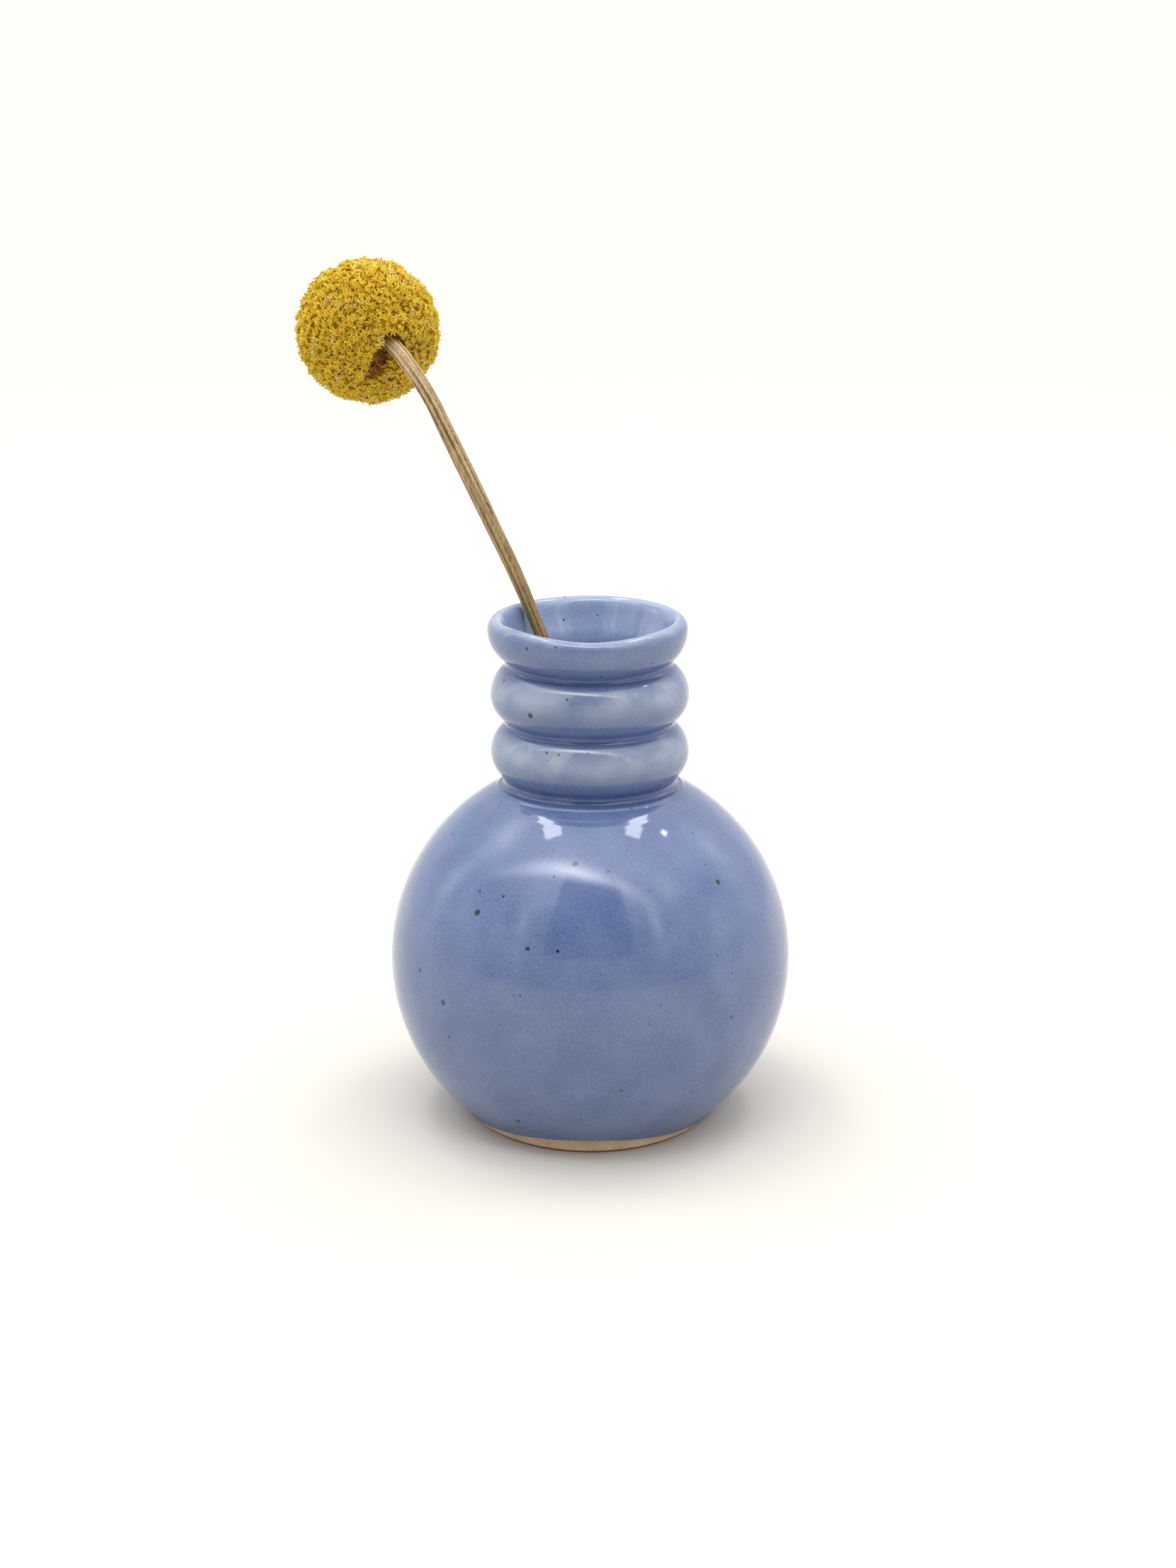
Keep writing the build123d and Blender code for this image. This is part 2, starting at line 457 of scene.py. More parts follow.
    def hand_thrown(self, reach: np.ndarray, height: np.ndarray, turn: np.ndarray) -> np.ndarray:
        """Moves points of the true profile to where the potter's hands left them.

        The rim stands a little higher at the back, dips at the front where a thumb pressed it, and
        is out of round. Each ring runs slightly up and down, the neck isn't quite on the axis, and the
        foot is fuller at the front than behind.

        Args:
            reach: distance from the axis, in mm.
            height: height, in mm.
            turn: angle round the axis, in radians from +X.

        Returns:
            A row of x, y and z for each point, in mm.
        """
        neck = ease(height, 68, 76)
        rim = ease(height, 92, 102)
        inner = rim * ease(-reach, -19.2, -17.2)
        tilt = 0.3 + self.lip_tilt * np.sin(turn) + 0.1 * np.sin(2 * turn + 0.6)
        dip = self.thumb_dip * bell(turn, -88, 24) - 0.3 * bell(turn, -140, 16) - 0.15 * bell(turn, -35, 18)
        height = height + rim * (tilt - dip)
        for (ring_height, _), phase in zip(self.rings, (0.4, 2.3)):
            near = np.exp(-(((height - ring_height) / 5.5) ** 2))
            height = height + near * (0.16 * np.sin(turn + phase) + 0.1 * np.sin(2 * turn + 2 * phase))
        oval = 0.1 * np.cos(2 * turn + 0.7) + 0.07 * np.cos(3 * turn + 1.9)
        push = (self.foot_spread + self.foot_draw) * bell(turn, -90, 52) - self.foot_draw
        reach = reach + push * (1 - ease(height, 0, 4.5)) * ease(reach, 20, 26)
        reach = reach + neck * oval + 0.09 * np.cos(2 * turn - 0.4) * ease(height, 4, 30) * (1 - neck)
        reach = reach + inner * (0.45 * bell(turn, 8, 11) - 0.2 * bell(turn, 40, 16))
        reach = reach + rim * (0.22 * bell(turn, 4, 13) - 0.18 * bell(turn, -40, 16))
        throwing = 0.008 * np.sin(height * 1.3 + 0.5 * np.sin(turn + 1)) * (1 - neck)
        below_neck = (1 - ease(height, 72, 72.6)) * ease(height, 60, 64)
        for seam, tall, wide in self.seams:
            height = height + below_neck * tall * np.exp(-(((reach - seam) / wide) ** 2))
        reach = reach + throwing * ease(reach, 20, 30)
        sideways = -self.neck_shift * neck - (self.lip_shift - self.neck_shift) * rim
        return np.stack([reach * np.cos(turn) + sideways, reach * np.sin(turn), height], -1)

    def glaze_line(self, reach: np.ndarray, height: np.ndarray, turn: np.ndarray) -> np.ndarray:
        """Slides the glaze's lower edge up and down the globe, as the wiped line runs uneven.

        Args:
            reach: distance from the axis, in mm.
            height: height, in mm.
            turn: angle round the axis, in radians.

        Returns:
            Reach and height of each point, stacked.
        """
        rise = -0.95 + 2.2 * bell(turn, -91, 42) + 0.1 * np.sin(3 * turn + 0.8)
        rise = rise + 0.06 * np.sin(11 * turn) * np.sin(4 * turn + 1)
        up = height - self.globe_height
        radius = np.hypot(reach, up)
        low = height + rise * (1 - ease(height, self.line_height, 16))
        globe = np.sqrt(np.clip(radius**2 - (low - self.globe_height) ** 2, 0, None))
        over_foot = self.foot_radius + 0.95 + 0.19 * (low - self.foot_bevel) + radius - self.globe_radius
        smooth = over_foot + 0.3 * np.log1p(np.exp((globe - over_foot) / 0.3))
        return np.stack([np.where(height < 25, smooth, reach), low])

    def spin(
        self,
        name: str,
        section: np.ndarray,
        ends: Ends,
        wiped: bool,
        material: bpy.types.Material,
        slot: str,
        node: str,
    ) -> bpy.types.Object:
        """Spins a section round the axis and dresses the piece that it makes.

        Args:
            name: the piece's name.
            section: reach and height of each point.
            ends: how the section closes.
            wiped: whether its lower edge follows the uneven glaze line.
            material: its material.
            slot: passed on to dress, which does not use it.
            node: the CAD node that it stands for.

        Returns:
            The piece.
        """
        closed = ends is Ends.RING
        body = section if closed else section[1:-1]
        turns = np.linspace(0, 2 * math.pi, self.segments, endpoint=False)
        reach, turn = np.meshgrid(body[:, 0], turns, indexing="ij")
        height, _ = np.meshgrid(body[:, 1], turns, indexing="ij")
        pool_and_shade, thin = self.pooled(reach, height)
        if wiped:
            reach, height = self.glaze_line(reach, height, turn)
        points = self.hand_thrown(reach, height, turn).reshape(-1, 3)
        if not closed:
            points = np.concatenate([points, [[0, 0, section[0, 1]], [0, 0, section[-1, 1]]]])
        spare = (0, len(points) - reach.size)
        layers = {"pool_and_shade": np.pad(pool_and_shade.ravel(), spare), "thin": np.pad(thin.ravel(), spare)}
        faces = skin_faces(len(body), self.segments, ends)
        return dress(make_mesh(name, points, faces, **layers), material, "vase", slot, node)

    def pooled(self, reach: np.ndarray, height: np.ndarray) -> tuple[np.ndarray, np.ndarray]:
        """Where molten glaze ran thick and where it drew thin, which also carry painted shade and a painted
        reflection.

        Args:
            reach: distance from the axis, in mm.
            height: height, in mm.

        Returns:
            How thick it pooled in the grooves and under the rings, partly painted shade, and how thin it
            drew over the crests and the rings' upper halves, partly a painted reflection, each from 0 to 1.
        """
        # the grooves are painted bluer: partly glaze that pooled there, partly painted shade in the creases
        heights = [self.rings[0][0] - 6.1, *(h + 6.1 for h, _ in self.rings)]
        outer = ease(reach, 15.6, 16.6) * (1 - ease(reach, 19.5, 21.5))
        pool_and_shade = sum(np.exp(-(((height - h) / 1.15) ** 2)) for h in heights) * outer
        # the undersides of the rings are painted bluer too: partly glaze that ran thick, partly painted
        # shade under each ring
        undersides = [*(h - 4.4 for h, _ in self.rings), self.rim_height - 4.4]
        under = sum(np.exp(-(((height - h) / 1.5) ** 2)) for h in undersides)
        pool_and_shade = pool_and_shade + 0.3 * under * ease(reach, 15.6, 16.6) * (1 - ease(reach, 20.5, 22))
        # the lip's crest, the rim ring and the upper half of each ring are painted paler: partly glaze drawn
        # thin, partly a painted reflection on the rings
        crest = np.exp(-(((height - self.crest_height) / 1.0) ** 2))
        rings = sum(np.exp(-(((height - h - 2.2) / 3.0) ** 2)) for h, _ in self.rings)
        rim = 0.5 * np.exp(-(((height - self.rim_height) / 2.6) ** 2))
        thin = 0.7 * crest + (0.95 * rings + 0.25 * rim) * ease(reach, 17.0, 19.0)
        return np.clip(pool_and_shade, 0, 1), np.clip(thin, 0, 1)

    def build(
        self, glaze: bpy.types.Material, liner_glaze: bpy.types.Material, clay: bpy.types.Material
    ) -> None:
        """Makes the two glaze coats and the two pieces of clay inside them.

        Args:
            glaze: the outside glaze.
            liner_glaze: the glaze inside, painted paler as painted light for the dim inside of the neck.
            clay: the bare stoneware.
        """
        hidden_step = 2 * self.step
        under = self.glaze + 0.02
        outer, inner = self.outside(0, self.step), self.inside(0, hidden_step)
        outer_back, inner_back = self.outside(self.glaze, hidden_step), self.inside(self.glaze, hidden_step)
        # the wiped edge of the outside glaze is rounded, from its face to its back
        edge = Bulge(
            (outer[0, 0] + outer_back[0, 0]) / 2,
            (outer[0, 1] + outer_back[0, 1]) / 2,
            math.dist(outer[0], outer_back[0]) / 2,
        )
        bead = edge.arc(math.pi, 2 * math.pi, 0.1)[1:]
        coat = np.concatenate([outer, outer_back[::-1], bead])
        self.spin("outside_glaze", coat, Ends.RING, True, glaze, "blue_glaze", "glaze_outside")
        liner = np.concatenate([inner, inner_back[::-1]])
        self.spin("liner_glaze", liner, Ends.POLES, False, liner_glaze, "blue_glaze", "glaze_liner")

        wall_out, wall_in = self.outside(under, hidden_step), self.inside(under, hidden_step)
        # the globe's clay ends, and the neck's begins, on a flat ring at the luted joint
        low_wall = wall_out[wall_out[:, 1] < self.joint_height - 0.3]
        shoulder = wall_in[wall_in[:, 1] < self.joint_height - 0.3]
        bevel = self.foot_radius + self.foot_bevel
        band = np.linspace([bevel, self.foot_bevel], low_wall[0], 12, endpoint=False)
        dish = np.linspace(0, self.foot_radius - 4, 24, endpoint=False)
        base = np.stack([dish, self.foot_dish * (1 - ease(dish, 12, self.foot_radius - 5))], 1)
        foot = np.linspace([self.foot_radius - 4, 0], [self.foot_radius, 0], 4)
        ends = [np.interp(self.joint_height, side[:, 1], side[:, 0]) for side in (wall_out, wall_in)]
        joint = np.linspace([ends[0], self.joint_height], [ends[1], self.joint_height], 3)
        globe = np.concatenate([base, foot, band, low_wall, joint, shoulder[::-1]])
        self.spin("thrown_globe", globe, Ends.POLES, False, clay, "bare_stoneware", "globe")
        high_out = wall_out[wall_out[:, 1] > self.joint_height + 0.3]
        high_in = wall_in[wall_in[:, 1] > self.joint_height + 0.3]
        # a gap of 0.05 mm keeps the two pieces from sharing a face
        joint = joint + [0, 0.05]
        neck = np.concatenate([joint[::-1], high_out, high_in[::-1]])
        self.spin("thrown_neck", neck, Ends.RING, False, clay, "bare_stoneware", "neck")


# ---- the flower --------------------------------------------------------------------------------


def unit(vectors: np.ndarray) -> np.ndarray:
    """Scales each vector to a length of 1."""
    return vectors / np.linalg.norm(vectors, axis=-1, keepdims=True)


def rounded_path(
    corners: tuple[tuple[float, float, float], ...], radii: tuple[float, ...], step: float
) -> np.ndarray:
    """Joins straight runs with round bends.

    Args:
        corners: the ends of the runs, in mm.
        radii: the radius of the bend at each inner corner.
        step: the distance between points.

    Returns:
        A row for each point, evenly spaced.
    """
    ends = np.array(corners, float)
    parts = [ends[:1]]
    for before, corner, after, radius in zip(ends, ends[1:], ends[2:], radii):
        back, on = unit(before - corner), unit(after - corner)
        turn = math.acos(-back @ on)
        start = corner + back * radius * math.tan(turn / 2)
        middle = corner + unit(back + on) * radius / math.cos(turn / 2)
        angles = np.linspace(0, turn, 24)[:, None]
        parts.append(middle + np.cos(angles) * (start - middle) - np.sin(angles) * back * radius)
    rough = np.concatenate([*parts, ends[-1:]])
    lengths = np.r_[0, np.cumsum(np.linalg.norm(np.diff(rough, axis=0), axis=1))]
    even = np.linspace(0, lengths[-1], math.ceil(lengths[-1] / step))
    return np.stack([np.interp(even, lengths, rough[:, i]) for i in range(3)], 1)


def tube(path: np.ndarray, radii: np.ndarray) -> tuple[np.ndarray, list[tuple[int, ...]]]:
    """Wraps a closed skin round a path.

    Args:
        path: the points that it follows, in mm.
        radii: a row for each point, with a radius for each step round the tube.

    Returns:
        The points, ending with the middles of the two ends, and the faces.
    """
    along = unit(np.gradient(path, axis=0))
    side = unit(np.cross(along[0], [0.3, 0.1, 1.0]))
    across = []
    for direction in along:
        side = unit(side - direction * (side @ direction))
        across.append(side)
    first = np.array(across)
    second = np.cross(along, first)
    rows, count = radii.shape
    angles = np.linspace(0, 2 * math.pi, count, endpoint=False)[None, :, None]
    ring = np.cos(angles) * first[:, None] + np.sin(angles) * second[:, None]
    points = (path[:, None] + radii[..., None] * ring).reshape(-1, 3)
    return np.concatenate([points, path[:1], path[-1:]]), skin_faces(rows, count, Ends.POLES)


def spread(count: int, rng: np.random.Generator, jitter: float) -> np.ndarray:
    """Spreads directions evenly over a sphere, then shakes them a little.

    Args:
        count: how many.
        rng: the seeded source of chance.
        jitter: how far each is shaken, as a share of the gap between neighbours.

    Returns:
        A unit row for each direction.
    """
    index = np.arange(count) + 0.5
    up = 1 - 2 * index / count
    turn = index * math.pi * (3 - math.sqrt(5))
    flat = np.sqrt(1 - up**2)
    even = np.stack([flat * np.cos(turn), flat * np.sin(turn), up], 1)
    return unit(even + rng.normal(0, jitter * math.sqrt(4 * math.pi / count), even.shape))


def ball(detail: int) -> tuple[np.ndarray, list[tuple[int, ...]]]:
    """A unit ball with evenly sized triangles.

    Args:
        detail: how often its twenty triangles are split.

    Returns:
        The points and the faces.
    """
    shell = bmesh.new()
    bmesh.ops.create_icosphere(shell, subdivisions=detail, radius=1.0)
    points = unit(np.array([v.co for v in shell.verts]))
    faces = [tuple(v.index for v in face.verts) for face in shell.faces]
    shell.free()
    return points, faces


def frames_along(directions: np.ndarray, rng: np.random.Generator) -> np.ndarray:
    """Frames whose third axis follows the directions, each spun by chance.

    Args:
        directions: a unit row for each frame.
        rng: the seeded source of chance.

    Returns:
        A 3 by 3 matrix for each, with its axes as rows.
    """
    helper = unit(rng.normal(size=directions.shape))
    first = unit(np.cross(directions, helper))
    return np.stack([first, np.cross(directions, first), directions], 1)


def stamp(
    shapes: np.ndarray, faces: list[tuple[int, ...]], frames: np.ndarray, places: np.ndarray
) -> tuple[np.ndarray, list[tuple[int, ...]]]:
    """Sets many small shapes of one layout in place.

    Args:
        shapes: the points of each shape, in its own frame, in mm.
        faces: the faces that they all share.
        frames: the axes of each, as rows.
        places: where the origin of each goes.

    Returns:
        All the points and all the faces.
    """
    points = shapes @ frames + places[:, None]
    size = shapes.shape[1]
    numbered = [tuple(v + size * k for v in face) for k in range(len(shapes)) for face in faces]
    return points.reshape(-1, 3), numbered


@dataclass
class Stalk:
    """The dried stalk, ridged all the way, with the stub of one leaf.

    Attributes:
        route: the corners of its middle line, from the cut end to the middle of the head, in mm.
        bends: the radius of the bend at each inner corner.
        foot_radius: its radius at the cut end.
        top_radius: its radius below the head.
        seat: how far its end stops short of the head's middle.
        ridges: how many ridges run along it.
        ridge_depth: how deep the grooves between them are.
        stub_colour: the colour of the leaf's stub.
        step: the distance between points along it.
        around: how many steps round it its mesh takes.
    """

    route: tuple[tuple[float, float, float], ...] = (
        (26.79, -16.89, 14.3),
        (-15.66, 11.44, 113.0),
        (-33.9, 22.2, 149.0),
        (-41.2, 27.9, 158.3),
        (-47.6, 40.0, 159.8),
    )
    bends: tuple[float, ...] = (200.0, 42.0, 11.5)
    foot_radius: float = 1.36
    top_radius: float = 1.68
    seat: float = 2.0
    ridges: int = 10
    ridge_depth: float = 0.24
    stub_colour: str = "#4a3626"
    step: float = 0.4
    around: int = 96

    def build(self, dry: bpy.types.Material, scale: bpy.types.Material) -> None:
        """Makes the stalk and its leaf stub.

        Args:
            dry: the dried stalk's material.
            scale: the dried leaf's material.
        """
        path = rounded_path(self.route, self.bends, self.step)
        path = path[: -math.ceil(self.seat / self.step)]
        along = np.arange(len(path)) * self.step
        angle = np.linspace(0, 2 * math.pi, self.around, endpoint=False)[None, :]
        far = along[:, None]
        share = far / far[-1]
        twist = 0.006 * far + 0.16 * np.sin(far / 23) + 0.05 * np.sin(far / 5.3 + 2 * angle)
        ridge = 0.45 * np.cos(self.ridges * (angle + twist) + 0.9 * np.sin(far / 13))
        ridge = ridge + 0.35 * np.cos((self.ridges - 3) * (angle - twist) - 1.7 * np.sin(far / 19 + 1))
        ridge = ridge + 0.32 * np.cos((2 * self.ridges + 3) * (angle + twist) + 1.4 * np.sin(far / 7))
        crest = np.clip(0.5 + 0.5 * ridge, 0, 1) ** 0.7
        radius = self.foot_radius + (self.top_radius - self.foot_radius) * ease(share, 0.5, 0.78)
        pinch = 0.04 * np.sin(far / 9 + 0.4) + 0.03 * np.sin(far / 4.1 + 2 * np.cos(angle))
        radii = radius + pinch + self.ridge_depth * (crest - 0.72)
        radii = radii * (1 - 0.07 * np.cos(2 * angle + 1 + far / 60) * share)
        radii[0] *= 0.94
        points, faces = tube(path, radii)
        groove = np.append((1 - crest).ravel(), [0.5, 0.5])
        up = np.append(np.broadcast_to(share, crest.shape).ravel(), [0, 1])
        piece = make_mesh("ridged_stalk", points, faces, groove=groove, up=up)
        dress(piece, dry, "flower", "dried_stem", "stem")
        self.build_stub(path, scale)

    def build_stub(self, path: np.ndarray, scale: bpy.types.Material) -> None:
        """Makes the stub, which hooks up and out of the stalk's right side.

        Args:
            path: the stalk's middle line.
            scale: the dried leaf's material.
        """
        low, high = (np.array(corner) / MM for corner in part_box("leaf_stub"))
        middle = (low + high) / 2
        nearest = path[np.argmin(np.linalg.norm(path - middle, axis=1))]
        out = unit(middle - nearest)
        up = unit(np.array(self.route[2]) - np.array(self.route[1]))
        out = unit(out - up * (out @ up))
        root = nearest + out * (self.foot_radius - 0.3) - up * 1.3
        bend = ((0, 0), (0.25, 0.5), (0.55, 1.0), (0.72, 1.5), (0.78, 2.0), (0.98, 2.5), (1.3, 2.9))
        line = np.array([root + out * a + up * b for a, b in bend])
        smooth = np.linspace(0, len(line) - 1, 30)
        line = np.stack([np.interp(smooth, np.arange(len(line)), line[:, i]) for i in range(3)], 1)
        angle = np.linspace(0, 2 * math.pi, 20, endpoint=False)[None, :]
        share = np.linspace(0, 1, len(line))[:, None]
        radii = 0.52 - 0.3 * share**0.8 + 0.05 * np.cos(5 * angle + 3 * share)
        radii = radii + 0.12 * ease(share, 0.85, 1) * np.cos(2 * angle + 1)
        points, faces = tube(line, np.clip(radii, 0.08, None))
        tint = np.tile(linear(self.stub_colour), (len(points), 1))
        piece = make_mesh("leaf_stub_spur", points, faces, tint=tint)
        dress(piece, scale, "flower", "dried_bract", "leaf_stub")


@dataclass(frozen=True)
class HeadColours:
    """The colours of the dried head, which its meshes carry.

    Attributes:
        base: the foot of a floret, painted deeper gold as painted shade among the florets.
        tube: the side of a floret.
        lobe: the lobes that a floret opens to.
        bleached: lobes that light has bleached.
        bud: a closed bud.
        ripe: the throat of the ripest florets.
        packed: the core under the middle of a tuft.
        gap: the core between two tufts, painted deeper gold as painted shade in the crevices.
        pit: the core in the pit and the clefts: the brown of the bare core, painted darker as painted shade
            in the hollow.
        dark_scale: the darkest dry scales.
        pale_scale: the palest dry scales.
        receptacle: the hard core inside.
    """

    base: str = "#dba61a"
    tube: str = "#fbd028"
    lobe: str = "#fff05c"
    bleached: str = "#fffbe2"
    bud: str = "#ffd24c"
    ripe: str = "#fcc83c"
    packed: str = "#f0c634"
    gap: str = "#c4941a"
    pit: str = "#4b3419"
    dark_scale: str = "#8a5426"
    pale_scale: str = "#ecb470"
    receptacle: str = "#6b4f2c"


@dataclass
class FlowerHead:
    """The dried head: florets in small tufts on a core, with a pit where the stalk comes out.

    Attributes:
        stalk: the stalk that it sits on.
        radius: from its middle to the tips of the florets, in mm.
        core_radius: from its middle to the bottoms of the gaps between florets.
        receptacle_radius: radius of the hard core inside.
        florets: how many places for a floret it has. Those in the pit and the clefts stay empty.
        tufts: how many tufts they stand in.
        tuft_dip: how much lower the edge of a tuft is than its middle.
        pit_depth: how far the core goes in at the bottom of the pit.
        buds: the share of the florets that stayed closed.
        cleft_end: the direction that the cleft runs to, from the pit.
        short_cleft_end: the direction that the shorter cleft runs to.
        pit_angle: from the pit's axis to its edge, in degrees.
        ring_bracts: how many dry scales stand round the stalk.
        bracts: how many more are in the longer cleft.
        colours: its colours.
        seed: where its chance starts.
    """

    stalk: Stalk
    radius: float = 15.2
    core_radius: float = 14.2
    receptacle_radius: float = 4.6
    florets: int = 2500
    tufts: int = 150
    tuft_dip: float = 0.5
    pit_depth: float = 6.4
    buds: float = 0.055
    cleft_end: tuple[float, float, float] = (0.0, -0.76, -0.65)
    short_cleft_end: tuple[float, float, float] = (0.78, -0.6, -0.18)
    pit_angle: float = 8.5
    ring_bracts: int = 14
    bracts: int = 90
    colours: HeadColours = HeadColours()
    seed: int = 7

    @property
    def middle(self) -> np.ndarray:
        """The middle of the head, in mm."""
        return np.array(self.stalk.route[-1])

    @property
    def pit(self) -> np.ndarray:
        """The direction from the middle of the head down the stalk."""
        return unit(np.array(self.stalk.route[-2]) - self.middle)

    def hollow(self, directions: np.ndarray) -> np.ndarray:
        """How deep the pit and the clefts are.

        Args:
            directions: unit directions from the middle of the head.

        Returns:
            The depth in each direction, from 0 on the ball to 1 at the bottom of the pit.
        """
        away = np.degrees(np.arccos(np.clip(directions @ self.pit, -1, 1)))
        depth = 1 - ease(away, 0.7 * self.pit_angle, 1.3 * self.pit_angle)
        # each cleft has an end, a half width in degrees and a depth where it leaves the pit
        for end, wide, deep in ((self.cleft_end, 13, 0.5), (self.short_cleft_end, 12, 0.4)):
            goal = unit(np.array(end))
            reach = math.acos(self.pit @ goal)
            on = unit(goal - self.pit * (goal @ self.pit))
            run = np.clip(np.arctan2(directions @ on, directions @ self.pit), 0, reach)
            nearest = np.cos(run)[..., None] * self.pit + np.sin(run)[..., None] * on
            off = np.degrees(np.arccos(np.clip((directions * nearest).sum(-1), -1, 1)))
            fade = run / reach
            half = wide * (0.45 + 0.55 * np.sin(math.pi * np.clip(1.1 * fade, 0, 1)))
            depth = np.maximum(depth, (deep - 0.22 * fade) * (1 - ease(off, 0.45 * half, half)))
        return depth

    def build(self, gold: bpy.types.Material, scale: bpy.types.Material) -> None:
        """Makes the receptacle, the bracts and the ball of florets.

        Args:
            gold: the florets' material.
            scale: the dry scales' material.
        """
        rng = np.random.default_rng(self.seed)
        tufts = spread(self.tufts, rng, 0.28)
        self.build_receptacle(scale)
        self.build_bracts(rng, scale)
        self.build_florets(rng, tufts, gold)

    def build_receptacle(self, scale: bpy.types.Material) -> None:
        """Makes the knobbly core that the florets grow from.

        Args:
            scale: the dry scales' material.
        """
        around, faces = ball(5)
        knobs = 1 + 0.03 * np.sin(around[:, 0] * 19) * np.sin(around[:, 1] * 17) * np.sin(around[:, 2] * 21)
        points = self.middle + around * self.receptacle_radius * knobs[:, None]
        tint = np.tile(pigment(self.colours.receptacle), (len(points), 1))
        piece = make_mesh("receptacle_core", points, faces, tint=tint)
        dress(piece, scale, "flower", "dried_bract", "receptacle")

    def build_bracts(self, rng: np.random.Generator, scale: bpy.types.Material) -> None:
        """Makes the dry scales: a ring round the stalk, and more down the floor of the cleft.

        Args:
            rng: the seeded source of chance.
            scale: the dry scales' material.
        """
        ring = self.ring_bracts
        rows, count = 7, 8
        share = np.linspace(0.02, 0.98, rows)[None, :, None]
        angle = np.linspace(0, 2 * math.pi, count, endpoint=False)[None, None, :]
        total = ring + self.bracts
        length = np.r_[rng.uniform(3.4, 4.6, ring), rng.uniform(1.3, 2.6, self.bracts)][:, None, None]
        width = length * rng.uniform(0.16, 0.26, total)[:, None, None] * np.sin(math.pi * share**0.8) ** 0.7
        curl = rng.uniform(-0.3, 0.75, total)[:, None, None] * share**2 * length * 0.5
        cup = 0.35 * width * np.cos(angle) ** 2
        shapes = np.stack(
            np.broadcast_arrays(
                width * np.cos(angle),
                0.07 * np.sin(angle) * np.sin(math.pi * share) + curl + cup,
                share * length + 0 * angle,
            ),
            -1,
        ).reshape(total, rows * count, 3)
        tips = np.stack([shapes[:, :count].mean(1), shapes[:, -count:].mean(1)], 1)
        shapes = np.concatenate([shapes, tips], 1)

        # the ring of scales roots round the stalk and opens outwards
        first = unit(np.cross(self.pit, [0, 0, 1]))
        second = np.cross(self.pit, first)
        turn = np.linspace(0, 2 * math.pi, ring, endpoint=False) + rng.uniform(-0.15, 0.15, ring)
        out = np.cos(turn)[:, None] * first + np.sin(turn)[:, None] * second
        grow = unit(self.pit + out * rng.uniform(0.15, 0.6, ring)[:, None])
        roots = self.middle + self.pit * 4.0 + out * 2.15
        # the others lie any way on the floor of the longer cleft
        goal = unit(np.array(self.cleft_end))
        run = rng.uniform(0.1, 1.0, self.bracts)[:, None] ** 0.8
        along = unit(self.pit * (1 - run) + goal * run)
        sideways = unit(np.cross(self.pit, goal))
        along = unit(along + sideways * rng.normal(0, 0.075, self.bracts)[:, None])
        floor = self.core_radius - 6.2 * self.hollow(along)[:, None] - 0.5
        lie = unit(along + 0.9 * rng.normal(0, 1, along.shape))
        places = np.concatenate([roots, self.middle + along * floor])
        directions = np.concatenate([grow, lie])
        frames = frames_along(directions, rng)
        frames[:ring, 1] = -out
        frames[:ring, 1] = unit(frames[:ring, 1] - grow * (frames[:ring, 1] * grow).sum(1)[:, None])
        frames[:ring, 0] = np.cross(frames[:ring, 1], grow)
        points, faces = stamp(shapes, skin_faces(rows, count, Ends.POLES), frames, places)
        dark, pale = pigment(self.colours.dark_scale), pigment(self.colours.pale_scale)
        mix = rng.uniform(0, 1, total)[:, None, None] ** 1.3 * np.ones((1, shapes.shape[1], 1))
        tint = (dark * (1 - mix) + pale * mix).reshape(-1, 4)
        piece = make_mesh("dry_bracts", points, faces, tint=tint)
        dress(piece, scale, "flower", "dried_bract", "bracts")

    def build_florets(
        self, rng: np.random.Generator, tufts: np.ndarray, gold: bpy.types.Material
    ) -> None:
        """Makes the ball: a bumpy core and the florets that stand on it.

        Args:
            rng: the seeded source of chance.
            tufts: the middle of each tuft.
            gold: the florets' material.
        """
        directions = spread(self.florets, rng, 0.24)
        depth = self.hollow(directions)
        # no floret grows deeper than this in the pit and the clefts
        keep = depth < 0.3
        directions, depth = directions[keep], depth[keep]
        closeness = directions @ tufts.T
        own = tufts[closeness.argmax(1)]
        away = np.degrees(np.arccos(np.clip(closeness.max(1), -1, 1)))
        spacing = math.degrees(math.sqrt(4 * math.pi / self.tufts))
        dip = self.tuft_dip * ease(away, 0.15 * spacing, 0.75 * spacing)
        count = len(directions)
        splay = unit(directions + 1.1 * (directions - own) + rng.normal(0, 0.2, directions.shape))
        # those at the edge of the pit lean over it
        over_pit = unit(np.array([0.5, -0.3, -0.2]))
        leaning = unit(splay + 0.5 * over_pit * (1 - depth[:, None]))
        splay = np.where((depth > 0.02)[:, None], leaning, splay)
        height = rng.normal(0, 0.14, count) + 0.5 * rng.uniform(0, 1, count) ** 6
        tips = self.radius - dip - 4.0 * depth + height
        length = rng.uniform(1.9, 2.5, count)
        shapes, bud = self.floret_shapes(rng, count, length)
        frames = frames_along(splay, rng)
        places = self.middle + directions * tips[:, None] - splay * length[:, None]
        points, faces = stamp(shapes, skin_faces(5, 10, Ends.POLES), frames, places)
        tint = self.floret_tints(rng, directions, bud)
        core_points, core_faces, core_tint = self.core(tufts)
        faces = faces + [tuple(v + len(points) for v in face) for face in core_faces]
        points = np.concatenate([points, core_points])
        tint = np.concatenate([tint, core_tint])
        piece = make_mesh("floret_head", points, faces, tint=tint)
        dress(piece, gold, "flower", "dried_florets", "floret_ball")

